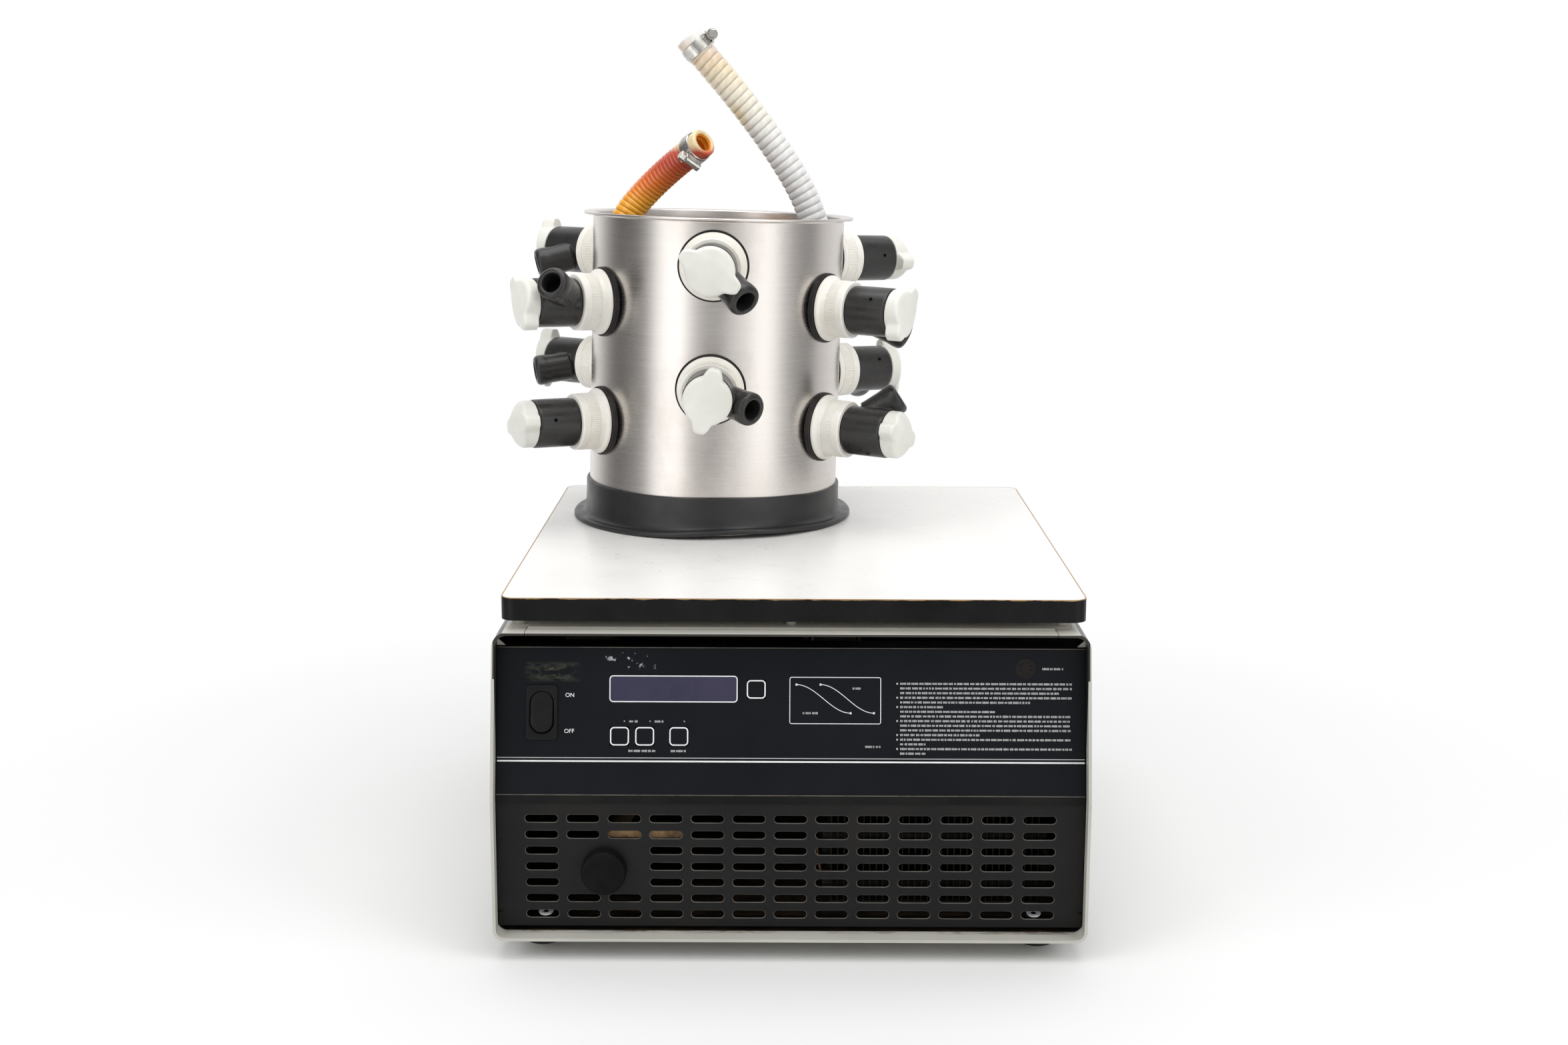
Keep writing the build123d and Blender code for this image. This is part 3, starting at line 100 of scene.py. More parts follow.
# ---- hose route
HOSE = [
    (-88.0, 98.0, 698.0),
    (-134.0, 139.0, 666.0),
    (-186.3, 135.0, 604.3),
    (-186.0, 134.5, 482.0),
    (-191.8, 133.0, 362.3),
    (-81.2, 132.6, 298.6),
    (29.6, 133.0, 362.3),
    (40.0, 134.5, 592.0),
    (-22.0, 135.0, 709.0),
    (-106.4, 134.0, 802.5),
]


def route_samples(points, steps):
    """Even samples of the NURBS spline that the route's points control."""
    curve = bpy.data.curves.new("route", "CURVE")
    curve.dimensions = "3D"
    curve.resolution_u = 40
    spline = curve.splines.new("NURBS")
    spline.points.add(len(points) - 1)
    for point, place in zip(spline.points, points):
        point.co = (place[0] * MM, place[1] * MM, place[2] * MM, 1.0)
    spline.order_u = 3
    spline.use_endpoint_u = True
    holder = bpy.data.objects.new("route", curve)
    mesh = bpy.data.meshes.new_from_object(holder)
    line = [v.co.copy() for v in mesh.vertices]
    bpy.data.objects.remove(holder)
    run = [0.0]
    for a, b in zip(line, line[1:]):
        run.append(run[-1] + (b - a).length)
    out = []
    k = 0
    for i in range(steps + 1):
        want = run[-1] * i / steps
        while k < len(run) - 2 and run[k + 1] < want:
            k += 1
        part = (want - run[k]) / max(run[k + 1] - run[k], 1e-9)
        out.append(line[k].lerp(line[k + 1], part))
    return out, run[-1]


# ---- materials
ROUGH_SPAN, STEEL_GRIME = 0.08, 0.35


def add_object(name, data):
    obj = bpy.data.objects.new(name, data)
    scene.collection.objects.link(obj)
    return obj


def new_node(t, kind):
    return t.nodes.new("ShaderNode" + kind)


def put(node, **values):
    """Sets a node's inputs, or links them. An input's spaces are underscores here."""
    for name, value in values.items():
        socket = node.inputs[name.replace("_", " ")]
        if isinstance(value, bpy.types.NodeSocket):
            node.id_data.links.new(value, socket)
        else:
            socket.default_value = value


def cleared_tree(owner):
    owner.use_nodes = True
    for n in list(owner.node_tree.nodes):
        owner.node_tree.nodes.remove(n)
    return owner.node_tree


def new_material(name):
    m = bpy.data.materials.new(name)
    t = cleared_tree(m)
    s = new_node(t, "BsdfPrincipled")
    put(new_node(t, "OutputMaterial"), Surface=s.outputs[0])
    return m, t, s


def noise(t, scale, detail=4.0, rough=0.55, stretch=(1, 1, 1), offset=(0, 0, 0)):
    co = new_node(t, "TexCoord")
    mp = new_node(t, "Mapping")
    put(mp, Vector=co.outputs["Object"], Scale=stretch, Location=offset)
    n = new_node(t, "TexNoise")
    put(n, Vector=mp.outputs[0], Scale=scale, Detail=detail, Roughness=rough)
    return n.outputs[0]


def ramp(t, value, stops):
    r = new_node(t, "ValToRGB")
    e = r.color_ramp.elements
    while len(e) < len(stops):
        e.new(0.5)
    for el, (p, c) in zip(e, stops):
        el.position = p
        el.color = (*c, 1.0) if len(c) == 3 else c
    t.links.new(value, r.inputs[0])
    return r.outputs[0]


def grey(v):
    return (v, v, v)


def greys(t, value, *stops):
    """A ramp of greys. Stops are places and levels."""
    return ramp(t, value, [(p, grey(v)) for p, v in stops])


def mix(t, fac, a, b, blend="MIX"):
    n = new_node(t, "Mix")
    n.data_type = "RGBA"
    n.blend_type = blend
    for sock, v in ((n.inputs[0], fac), (n.inputs[6], a), (n.inputs[7], b)):
        if isinstance(v, (int, float)):
            sock.default_value = v
        elif isinstance(v, tuple):
            sock.default_value = (*v, 1.0) if len(v) == 3 else v
        else:
            t.links.new(v, sock)
    return n.outputs[2]


def calc(t, op, a, b=0.0, clamp=False):
    n = new_node(t, "Math")
    n.operation = op
    n.use_clamp = clamp
    for sock, v in ((n.inputs[0], a), (n.inputs[1], b)):
        if isinstance(v, (int, float)):
            sock.default_value = v
        else:
            t.links.new(v, sock)
    return n.outputs[0]


def times(t, a, b):
    return calc(t, "MULTIPLY", a, b)


def bump(t, shader, height, strength, distance):
    b = new_node(t, "Bump")
    put(b, Strength=strength, Distance=distance, Height=height)
    put(shader, Normal=b.outputs[0])


def surface(name, color, rough, spot=None, spot_amount=0.5, spot_scale=25.0, metal=0.0, grain=600.0,
            grain_depth=0.00004, coat=0.0, low=0.45, high=0.62, ior=1.5):
    """A moulded, painted or bare surface with slight mottling, worn spots and a fine grain."""
    m, t, s = new_material(name)
    base = noise(t, spot_scale, 5.0, 0.6)
    shade = ramp(t, base, [(0.3, tuple(c * 0.93 for c in color)), (0.7, tuple(min(c * 1.06, 1) for c in color))])
    if spot:
        worn = noise(t, spot_scale * 0.55, 6.0, 0.7, offset=(3.1, 1.7, 0.4))
        shade = mix(t, greys(t, worn, (low, 0.0), (high, spot_amount)), shade, spot)
    patchy = noise(t, spot_scale * 1.7, 4.0)
    r = greys(t, patchy, (0.3, max(rough - ROUGH_SPAN, 0.02)), (0.7, min(rough + ROUGH_SPAN, 1.0)))
    put(s, Base_Color=shade, Roughness=r, Metallic=metal, IOR=ior)
    if coat:
        put(s, Coat_Weight=coat, Coat_Roughness=0.12)
    if grain:
        bump(t, s, noise(t, grain, 2.0), 0.5, grain_depth)
    return m


def position(t):
    g = new_node(t, "TexCoord")
    xyz = new_node(t, "SeparateXYZ")
    put(xyz, Vector=g.outputs["Object"])
    return xyz.outputs


def paint_inside_shade_and_lip_dirt(m, front=-0.2565):
    """Inner faces get painted shade, a flat dark colour for the little light inside the cabinet, and grime lies along
    the lip under the grille.
    """
    t = m.node_tree
    s = t.nodes["Principled BSDF"]
    color = s.inputs["Base Color"].links[0].from_socket
    x, y, z = position(t)
    near = calc(t, "LESS_THAN", calc(t, "ABSOLUTE", x), 0.2553)
    behind = calc(t, "GREATER_THAN", y, front)
    under = calc(t, "LESS_THAN", z, 0.2845)
    above = calc(t, "GREATER_THAN", z, 0.0185)
    inside = times(t, times(t, near, times(t, behind, under)), above)
    # Painted shade: faces inside the cabinet take a flat dark colour.
    color = mix(t, inside, color, (0.022, 0.019, 0.016))
    depth = calc(t, "MULTIPLY", calc(t, "ADD", y, 0.2655), 120.0, clamp=True)
    low = calc(t, "LESS_THAN", z, 0.0225)
    spots = greys(t, noise(t, 1.0, 6.0, 0.75, stretch=(30, 110, 40)), (0.47, 0.0), (0.62, 0.9))
    dirt = times(t, times(t, low, above), times(t, depth, spots))
    put(s, Base_Color=mix(t, dirt, color, (0.085, 0.050, 0.028)))


def shell_surface(name):
    return surface(name, (0.50, 0.49, 0.44), 0.38, (0.36, 0.34, 0.28), 0.35, 12, coat=0.15, low=0.55, high=0.75)


def zinc_surface(name):
    return surface(name, (0.62, 0.62, 0.60), 0.3, (0.42, 0.40, 0.35), 0.5, 90, metal=1.0)


shell_mat, rear_mat = shell_surface("shell_enamel"), shell_surface("rear_enamel")
zinc_mat, screw_mat = zinc_surface("zinc_plate"), zinc_surface("screw_zinc_plate")
paint_inside_shade_and_lip_dirt(shell_mat)
paint_inside_shade_and_lip_dirt(screw_mat, -0.262)
riser_mat = surface("riser_enamel", (0.47, 0.46, 0.41), 0.4, (0.3, 0.25, 0.18), 0.4, 18, low=0.55, high=0.72)
panel_mat = surface("panel_enamel", (0.0045, 0.005, 0.0055), 0.40, (0.016, 0.015, 0.013), 0.5, 14, ior=1.22)
grille_mat = surface("grille_enamel", (0.010, 0.010, 0.0105), 0.40, (0.020, 0.0175, 0.015), 0.45, 16, ior=1.25)
# A light grey for the grille slots' edges and the panel's edge lines: painted highlight where sheet edges catch the
# light.
edge_highlight_mat = surface("slot_edge_highlight", (0.10, 0.09, 0.075), 0.45, (0.035, 0.032, 0.028), 0.8, 70, grain=0)
bezel_mat = surface("switch_plastic", (0.006, 0.006, 0.0065), 0.42, spot_scale=40, ior=1.28)
rubber_mat = surface("valve_rubber", (0.021, 0.020, 0.0195), 0.30, (0.034, 0.031, 0.029), 0.25, 45, ior=1.46)
shadow_mat = surface("bore_shadow", (0.002, 0.002, 0.002), 0.8, spot_scale=60, ior=1.15)
gasket_mat = surface("gasket_rubber", (0.019, 0.019, 0.0195), 0.36, (0.034, 0.032, 0.031), 0.4, 22, ior=1.44)
seal_mat = surface("seal_rubber", (0.010, 0.0095, 0.009), 0.5, (0.06, 0.05, 0.04), 0.3, 60, ior=1.36)
knob_mat = surface("knob_plastic", (0.76, 0.76, 0.71), 0.40, (0.72, 0.70, 0.62), 0.4, 30, ior=1.46)
collar_mat = surface("collar_plastic", (0.87, 0.85, 0.795), 0.38, (0.78, 0.72, 0.60), 0.45, 26, ior=1.46)
socket_mat = surface("socket_plastic", (0.011, 0.0095, 0.0085), 0.5, spot_scale=60, ior=1.28)
plug_mat = surface("plug_plastic", (0.0045, 0.0045, 0.005), 0.45, (0.013, 0.012, 0.010), 0.4, 40, ior=1.16)
foot_mat = surface("foot_rubber", (0.02, 0.02, 0.02), 0.7, spot_scale=60)
clamp_mat = surface("clamp_steel", (0.66, 0.65, 0.62), 0.24, (0.45, 0.40, 0.33), 0.4, 120, metal=1.0)
foam_mat = surface("foam_brown", (0.045, 0.030, 0.020), 0.85, (0.020, 0.014, 0.010), 0.6, 40, grain=250,
    grain_depth=0.0008)
strip_mat = surface("strip_tan", (0.42, 0.26, 0.125), 0.8, (0.14, 0.085, 0.045), 0.9, 75, grain=250, grain_depth=0.0003)
copper_mat = surface("copper_line", (0.30, 0.14, 0.08), 0.35, (0.16, 0.12, 0.08), 0.6, 50, metal=1.0)
enamel_mat = surface("compressor_enamel", (0.018, 0.018, 0.019), 0.35, (0.09, 0.08, 0.07), 0.4, 20)
# The aluminium condenser fins are painted near black and not metallic: painted shade for the dim inside of the cabinet.
fin_shade_mat = surface("fin_aluminium", (0.030, 0.027, 0.024), 0.7, (0.010, 0.009, 0.008), 0.7, 30)
motor_mat = surface("motor_steel", (0.25, 0.25, 0.24), 0.45, (0.12, 0.10, 0.08), 0.5, 30, metal=0.8)
fan_mat = surface("fan_plastic", (0.03, 0.03, 0.03), 0.55, spot_scale=40)
board_mat = surface("circuit_board", (0.03, 0.12, 0.045), 0.45, (0.02, 0.06, 0.03), 0.7, 160)
drain_mat = surface("drain_tube", (0.16, 0.11, 0.06), 0.7, (0.05, 0.035, 0.02), 0.6, 40)
inlet_mat = surface("inlet_plastic", (0.02, 0.02, 0.02), 0.5, spot_scale=50)
print_mat = surface("print_white", (0.80, 0.82, 0.82), 0.5, spot_scale=80, grain=0)
print_dim = surface("print_grey", (0.42, 0.43, 0.43), 0.5, spot_scale=80, grain=0)


def steel(name, tone, rough):
    """Steel brushed round its vertical axis, with faint water marks."""
    m, t, s = new_material(name)
    fine = noise(t, 1.0, 3.0, 0.6, stretch=(22, 22, 3000))
    broad = noise(t, 1.0, 3.0, 0.6, stretch=(5, 5, 190))
    marks = noise(t, 9.0, 6.0, 0.65, stretch=(1, 1, 0.6), offset=(0.7, 0.2, 0.1))
    a = ramp(t, fine, [(0.25, tuple(c * 0.95 for c in tone)), (0.75, tuple(min(c * 1.04, 1) for c in tone))])
    c = mix(t, 1.0, a, greys(t, broad, (0.3, 0.97), (0.7, 1.0)), "MULTIPLY")
    c = mix(t, greys(t, marks, (0.52, 0.0), (0.74, STEEL_GRIME)), c, (0.34, 0.27, 0.22))
    put(s, Base_Color=c, Roughness=greys(t, fine, (0.2, rough - 0.03), (0.8, rough + 0.05)), Metallic=1.0)
    return m


chamber_mat = steel("chamber_steel", (0.72, 0.678, 0.645), 0.27)
well_mat = steel("well_steel", (0.60, 0.59, 0.57), 0.3)


def film_material():
    """The printed dark film, with rubbed glue marks and small chips at the top left."""
    m, t, s = new_material("overlay_film")
    base = ramp(t, noise(t, 9.0, 5.0, 0.6), [(0.3, (0.0035, 0.0045, 0.0065)), (0.7, (0.006, 0.007, 0.0095))])
    p = position(t)

    def marks(x0, x1, z0, z1, soft, grain, first, last, level):
        """Marks that fill a rectangle and thin out toward its edges."""
        d = []
        for axis, a, b in ((p[0], x0, x1), (p[2], z0, z1)):
            off = calc(t, "ABSOLUTE", calc(t, "SUBTRACT", axis, (a + b) / 2 * MM))
            d.append(calc(t, "DIVIDE", off, (b - a) / 2 * MM))
        area = greys(t, calc(t, "MAXIMUM", *d), (0.0, 1.0), (soft, 1.0), (1.0, 0.0))
        return mix(t, 1.0, area, greys(t, grain, (first, 0), (last, level)), "MULTIPLY")

    smear = noise(t, 1.0, 8.0, 0.8, stretch=(60, 60, 150), offset=(2.3, 0.7, 1.9))
    c = mix(t, marks(-231, -180, 239, 257, 0.3, smear, 0.46, 0.72, 0.55), base, (0.23, 0.235, 0.16))
    flecks = noise(t, 150.0, 4.0, 0.6, offset=(0.3, 0.1, 0.9))
    c = mix(t, marks(-165, -112, 250, 267, 0.6, flecks, 0.60, 0.65, 0.95), c, (0.42, 0.45, 0.46))
    put(s, Base_Color=c, Roughness=greys(t, noise(t, 16.0, 5.0), (0.3, 0.30), (0.7, 0.42)), IOR=1.25)
    bump(t, s, noise(t, 900.0, 2.0), 0.4, 0.00003)
    return m


def laminate_material():
    m, t, s = new_material("laminate_top")
    base = ramp(t, noise(t, 7.0, 4.0, 0.5), [(0.3, (0.80, 0.79, 0.77)), (0.7, (0.845, 0.84, 0.82))])
    marks = greys(t, noise(t, 26.0, 5.0, 0.6, offset=(1.2, 0.3, 0.8)), (0.62, 0.0), (0.80, 0.14))
    rough = greys(t, noise(t, 40.0, 4.0), (0.3, 0.26), (0.7, 0.36))
    put(s, Base_Color=mix(t, marks, base, (0.66, 0.63, 0.57)), Roughness=rough)
    bump(t, s, noise(t, 700.0, 2.0), 0.4, 0.00004)
    return m


def band_material():
    """The black edge band, chipped to the tan board along its upper edge."""
    m, t, s = new_material("edge_band")
    base = ramp(t, noise(t, 30.0, 4.0), [(0.3, (0.004, 0.004, 0.0045)), (0.7, (0.009, 0.009, 0.0095))])
    worn = 1.5 * MM
    up = times(t, calc(t, "SUBTRACT", position(t)[2], Z_WORK * MM - worn), 1.0 / worn)
    chips = noise(t, 1.0, 4.0, 0.6, stretch=(62, 62, 30), offset=(4.4, 2.0, 0.3))
    edge = calc(t, "ADD", up, times(t, chips, 2.2))
    mask = greys(t, calc(t, "SUBTRACT", edge, 1.55), (0.0, 0.0), (0.25, 0.9))
    put(s, Base_Color=mix(t, mask, base, (0.42, 0.26, 0.12)), Roughness=0.3, IOR=1.25)
    bump(t, s, noise(t, 500.0, 2.0), 0.4, 0.00004)
    return m


def hose_material(name, shade, rough, coat):
    """Clear ribbed hose, stained orange on its left leg and amber at its right end. The bright orange near the
    chamber's rim on the left leg is partly stain and partly a painted glow of light through the wall.
    """
    m, t, s = new_material(name)
    p = position(t)
    # Left leg: the brightest orange stops, near the chamber's rim, are partly the stain and partly a painted glow of
    # light through the hose wall.
    left = ramp(t, p[2], [
        (0.0, (0.55, 0.30, 0.10)), (0.58, (0.80, 0.36, 0.04)), (0.635, (0.93, 0.42, 0.02)), (0.655, (0.86, 0.20, 0.02)),
        (0.675, (0.60, 0.075, 0.03)), (0.688, (0.60, 0.10, 0.05)), (0.694, (0.80, 0.66, 0.40))])
    right = ramp(t, p[2], [
        (0.0, (0.70, 0.69, 0.66)), (0.60, (0.78, 0.78, 0.78)), (0.70, (0.84, 0.83, 0.81)), (0.745, (0.86, 0.80, 0.66)),
        (0.775, (0.82, 0.68, 0.46)), (0.785, (0.80, 0.62, 0.46)), (0.80, (0.82, 0.79, 0.76))])
    high = greys(t, times(t, calc(t, "SUBTRACT", p[2], 0.725), 60.0), (0.0, 0.0), (1.0, 1.0))
    near = greys(t, times(t, calc(t, "ADD", p[0], 0.055), 80.0), (0.0, 0.0), (1.0, 1.0))
    c = mix(t, mix(t, high, near, grey(1.0)), left, right)
    mottle = greys(t, noise(t, 90.0, 4.0), (0.3, 0.90 * shade), (0.7, shade))
    put(s, Base_Color=mix(t, 1.0, c, mottle, "MULTIPLY"), Roughness=rough, Coat_Weight=coat, Coat_Roughness=0.1)
    put(s, Subsurface_Weight=0.25, Subsurface_Radius=(0.005, 0.003, 0.002))
    bump(t, s, noise(t, 220.0, 2.0), 0.15, 0.00006)
    return m


hose_mat = hose_material("hose_wall", 1.0, 0.24, 0.5)
# The grooves between the hose's ribs take a darker copy of the wall: painted shade.
hose_groove_shade_mat = hose_material("hose_groove_shade", 0.72, 0.34, 0.3)
hose_bore_mat = surface("hose_bore", (0.72, 0.20, 0.015), 0.35, (0.85, 0.36, 0.03), 0.5, 60, grain=0)
hose_rib_mat = surface("hose_bore_rib", (0.92, 0.56, 0.08), 0.3, (0.80, 0.34, 0.03), 0.5, 60, grain=0)
film_mat = film_material()
laminate_mat = laminate_material()
band_mat = band_material()
lcd_mat = surface("display_glass", (0.022, 0.020, 0.055), 0.14, (0.040, 0.030, 0.07), 0.6, 26, grain=0, coat=0.6)


# ---- mesh helpers
def raw_mesh(name, verts, faces):
    mesh = bpy.data.meshes.new(name)
    mesh.from_pydata([(v[0] * MM, v[1] * MM, v[2] * MM) for v in verts], [], faces)
    return mesh


def build(name, verts, faces, mat, body="cabinet", slot=None, replaces=(), smooth=True, sharp=38.0, place=None):
    """One piece, from a shape in millimetres."""
    if place is not None:
        verts = [place @ Vector(v) for v in verts]
    return finish_mesh(name, raw_mesh(name, verts, faces), mat, body, replaces, smooth, sharp)


def face_outward(mesh, merge=0.0):
    bm = bmesh.new()
    bm.from_mesh(mesh)
    if merge:
        bmesh.ops.remove_doubles(bm, verts=bm.verts, dist=merge)
    bmesh.ops.recalc_face_normals(bm, faces=bm.faces)
    bm.to_mesh(mesh)
    bm.free()


def finish_mesh(name, mesh, mat, body, replaces, smooth=True, sharp=38.0):
    face_outward(mesh, 0.000002)
    mesh.materials.append(mat)
    if smooth:
        mesh.shade_smooth()
        mesh.set_sharp_from_angle(angle=radians(sharp))
    obj = add_object(name, mesh)
    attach(obj, body)
    if replaces:
        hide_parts(*replaces)
    return obj


def grid(rows, close_start=True, close_end=True):
    """Faces between rings of equal length. A ring of one point is a pole."""
    verts, faces, marks = [], [], []
    for row in rows:
        marks.append((len(verts), len(row)))
        verts += row
    for (a, n), (b, k) in zip(marks, marks[1:]):
        if n == 1 and k > 1:
            faces += [(a, b + j, b + (j + 1) % k) for j in range(k)]
        elif k == 1 and n > 1:
            faces += [(a + j, b, a + (j + 1) % n) for j in range(n)]
        elif n > 1:
            faces += [(a + j, b + j, b + (j + 1) % n, a + (j + 1) % n) for j in range(n)]
    if close_start and marks[0][1] > 2:
        faces.append(tuple(range(marks[0][0], marks[0][0] + marks[0][1])))
    if close_end and marks[-1][1] > 2:
        faces.append(tuple(range(marks[-1][0], marks[-1][0] + marks[-1][1])))
    return verts, faces


def ring(r, z, n):
    if r <= 0:
        return [(0.0, 0.0, z)]
    return [(r * cos(2 * pi * j / n), r * sin(2 * pi * j / n), z) for j in range(n)]


def turned(profile, n, *ends):
    """A turned shape from pairs of radius and height. Radius 0 is a pole."""
    return grid([ring(r, z, n) for r, z in profile], *ends)


def closed_loop(rows):
    """Faces between rings of equal length, the last joined to the first."""
    k, n = len(rows), len(rows[0])
    faces = []
    for i in range(k):
        ii = (i + 1) % k
        for j in range(n):
            jj = (j + 1) % n
            faces.append((i * n + j, ii * n + j, ii * n + jj, i * n + jj))
    return [v for row in rows for v in row], faces


def lathe(profile, n=96):
    """A closed solid of revolution. The profile is a loop of radius and height."""
    return closed_loop([ring(r, z, n) for r, z in profile])


def join(parts):
    verts, faces = [], []
    for v, f in parts:
        k = len(verts)
        verts += v
        faces += [tuple(i + k for i in face) for face in f]
    return verts, faces


def arc(cx, cz, r, a0, a1, n):
    """Points of an arc between two angles in degrees."""
    turns = [radians(a0 + (a1 - a0) * i / n) for i in range(n + 1)]
    return [(cx + r * cos(a), cz + r * sin(a)) for a in turns]


def frame_of(origin, x, z):
    z = Vector(z).normalized()
    x = Vector(x)
    x = (x - z * x.dot(z)).normalized()
    y = z.cross(x)
    m = Matrix((x, y, z)).transposed().to_4x4()
    m.translation = Vector(origin)
    return m


def turn(degrees, axis="Z"):
    return Matrix.Rotation(radians(degrees), 4, axis)


def shift(x, y, z):
    return Matrix.Translation((x, y, z))


CHAMBER = frame_of(WELL, (1, 0, -0.0245), (0.0245, 0.0087, 1))


def port_frame(az, height, out):
    a = radians(az)
    rot = CHAMBER.to_3x3()
    return frame_of(
        CHAMBER @ Vector((out * sin(a), -out * cos(a), height)),
        rot @ Vector((cos(a), sin(a), 0)),
        rot @ Vector((sin(a), -cos(a), 0)),
    )


PANEL = frame_of((0, Y_PANEL, Z_KNEE), (1, 0, 0), (0, -cos(LEAN), sin(LEAN)))


def smoothstep(a, b, v):
    u = min(max((v - a) / (b - a), 0.0), 1.0)
    return u * u * (3 - 2 * u)


# ---- knobs
def knob_shape():
    """The knob about its own axis, its low wing toward +X, with a flat band from wing to wing."""
    R, mid = 23.3, 16.0
    rise, fall = tan(radians(4.0)), tan(radians(15.0))
    n = 144

    def face(x, y):
        d = abs(y) - 8.0
        return mid + x * rise - (d + sqrt(d * d + 3.0)) / 2 * fall

    def outline(a, level):
        """The low wing stands at angle 0 and the high one opposite."""
        out = R
        for middle, start, end in ((0, 0.6, 3.2), (pi, 7.2, 10.6)):
            d = abs(middle - abs((a + pi) % (2 * pi) - pi))
            out += 8.5 * (1 - smoothstep(radians(5), radians(27), d)) * smoothstep(start, end, level)
        return out

    rows = [ring(0, 1.0, 1)]
    angles = [2 * pi * j / n for j in range(n)]
    rows += [ring(r, z, n) for r, z in ((20.0, 1.0), (R - 2.6, 0.05), (R - 0.5, 0.05), (R, 0.6))]
    edge, steps, crowns = 3.2, 18, []
    for a in angles:
        r = outline(a, 60.0)
        crowns.append(face(r * cos(a), r * sin(a)))
    for i in range(1, steps + 1):
        row = []
        for a, crown in zip(angles, crowns):
            z = 0.6 + (crown - edge - 0.6) * i / steps
            r = outline(a, z)
            row.append((r * cos(a), r * sin(a), z))
        rows.append(row)
    for i in range(1, 7):
        q = radians(90 * i / 6)
        row = []
        for a, crown in zip(angles, crowns):
            r = outline(a, crown) - edge * (1 - cos(q))
            row.append((r * cos(a), r * sin(a), face(r * cos(a), r * sin(a)) - edge * (1 - sin(q))))
        rows.append(row)
    last = rows[-1]
    for f in (0.92, 0.8, 0.66, 0.5, 0.34, 0.18):
        rows.append([(x * f, y * f, face(x * f, y * f)) for x, y, z in last])
    rows.append([(0, 0, face(0, 0))])
    return grid(rows)


knob = knob_shape()
for label, (az, h, sp, wg) in PORTS.items():
    base = port_frame(az, h, COLLAR_END + 44.3)
    place = base @ turn(wg)
    node = "valve_knob_" + label
    build("knob_" + label, *knob, knob_mat, node, "knob_plastic", (node,), place=place, sharp=60)


# ---- valve bodies
def voxel_mesh(name, parts, voxel):
    """One closed skin round several overlapping closed shapes."""
    mesh = raw_mesh(name, *join(parts))
    face_outward(mesh)
    holder = add_object(name, mesh)
    skin = holder.modifiers.new("skin", "REMESH")
    skin.mode = "VOXEL"
    skin.voxel_size = voxel * MM
    skin.adaptivity = 0.0
    relax = holder.modifiers.new("relax", "SMOOTH")
    relax.iterations = 2
    relax.factor = 0.5
    holder.modifiers.new("thin", "DECIMATE").ratio = 0.24
    out = bpy.data.meshes.new_from_object(holder.evaluated_get(bpy.context.evaluated_depsgraph_get()))
    bpy.data.objects.remove(holder)
    return out


def moved(shape, m):
    v, f = shape
    return [tuple(m @ Vector(p)) for p in v], f


def body_shape():
    """The valve's rubber body about its axis, with its spigot toward +X."""
    R = 24.2
    barrel = [
        (0, 0.35), (R - 1.5, 0.35), (R - 0.4, 0.8), (R, 1.8), (R, 20), (R - 0.1, 41.6), (R - 0.6, 43.2), (R - 1.8, 43.9),
        (0, 43.9)]
    side = sqrt(0.5)
    spigot = frame_of((0, 0, -3.0), (side, 0, -side), (side, 0, side))
    tube = [(0, 24.5), (15.2, 24.5), (15.2, 46.0), (15.5, 49.0), (16.0, 52.0)]
    tube += [(11.2 + 4.8 * cos(radians(q)), 57.2 + 4.8 * sin(radians(q))) for q in range(0, 91, 15)]
    tube += [(11.3 - 1.8 * sin(radians(q)), 60.2 + 1.8 * cos(radians(q))) for q in range(0, 91, 30)]
    tube += [(9.5, 45), (9.5, 33), (0, 33)]
    return turned(barrel, 96), moved(turned(tube, 72), spigot)


body_skin = voxel_mesh("body_skin", body_shape(), 0.85)
vent = turned([(0, 0.12), (1.75, 0.12), (1.8, 0.4), (2.3, 0.35), (2.5, -0.4), (0, -0.4)], 24)
vent_dark = turned([(0, 0.1), (1.74, 0.2), (1.7, 0.22), (0, 0.24)], 24)
for label, (az, h, sp, wg) in PORTS.items():
    place = port_frame(az, h, COLLAR_END) @ turn(sp)
    skin = body_skin.copy()
    scaled = place.copy()
    scaled.translation = place.translation * MM
    skin.transform(scaled)
    node = "valve_body_" + label
    finish_mesh("body_" + label, skin, rubber_mat, node, (node,), sharp=70)
    spot = place @ frame_of((-24.2, 0, 28.0), (0, 0, 1), (-1, 0, 0))
    build("vent_" + label, *vent, rubber_mat, node, "valve_rubber", place=spot)
    build("vent_dark_" + label, *vent_dark, shadow_mat, node, "valve_rubber", place=spot)


# ---- collars and seals
def collar_shape(n=200):
    """A collar from the chamber's inner face to its outer lip, with a ribbed band."""
    rows = []
    for r, t in (
        (14.0, 20.0), (14.0, 12.0), (22.4, 12.0), (22.4, 27.0), (23.0, 28.2), (24.5, 28.4), (27.2, 28.2), (28.1, 27.2),
        (28.2, 25.5), (28.2, 20.6), (27.8, 20.2), (27.8, 20.0), (27.8, 9.6), (27.8, 9.2), (28.2, 8.8), (28.6, 6.2),
        (29.6, 4.6), (31.4, 3.7), (32.4, 3.0), (32.8, 2.0), (32.7, 0.6), (32.0, 0.0), (14.0, 0.0),
    ):
        out = ring(r, RING_OUT + t, n)
        if t in (20.0, 9.6) and r > 20:
            out[1::2] = ring(r + 0.6, RING_OUT + t, n)[1::2]
        rows.append(out)
    return closed_loop(rows)


def flat_wall(p):
    """The chamber's wall pressed out to a flat seat round each port."""
    v = Vector(p)
    for place in seats:
        axis = place.to_3x3().col[2]
        d = v - place.translation
        t = d.dot(axis)
        r = (d - axis * t).length
        if t > 60 and r < SEAT_BLEND:
            seat = SEAT_T - max(r - SEAT_R, 0.0) * 0.30
            share = 1.0 - smoothstep(SEAT_R, SEAT_BLEND, r)
            v += axis * max(seat - t, 0.0) * share
    return tuple(v)


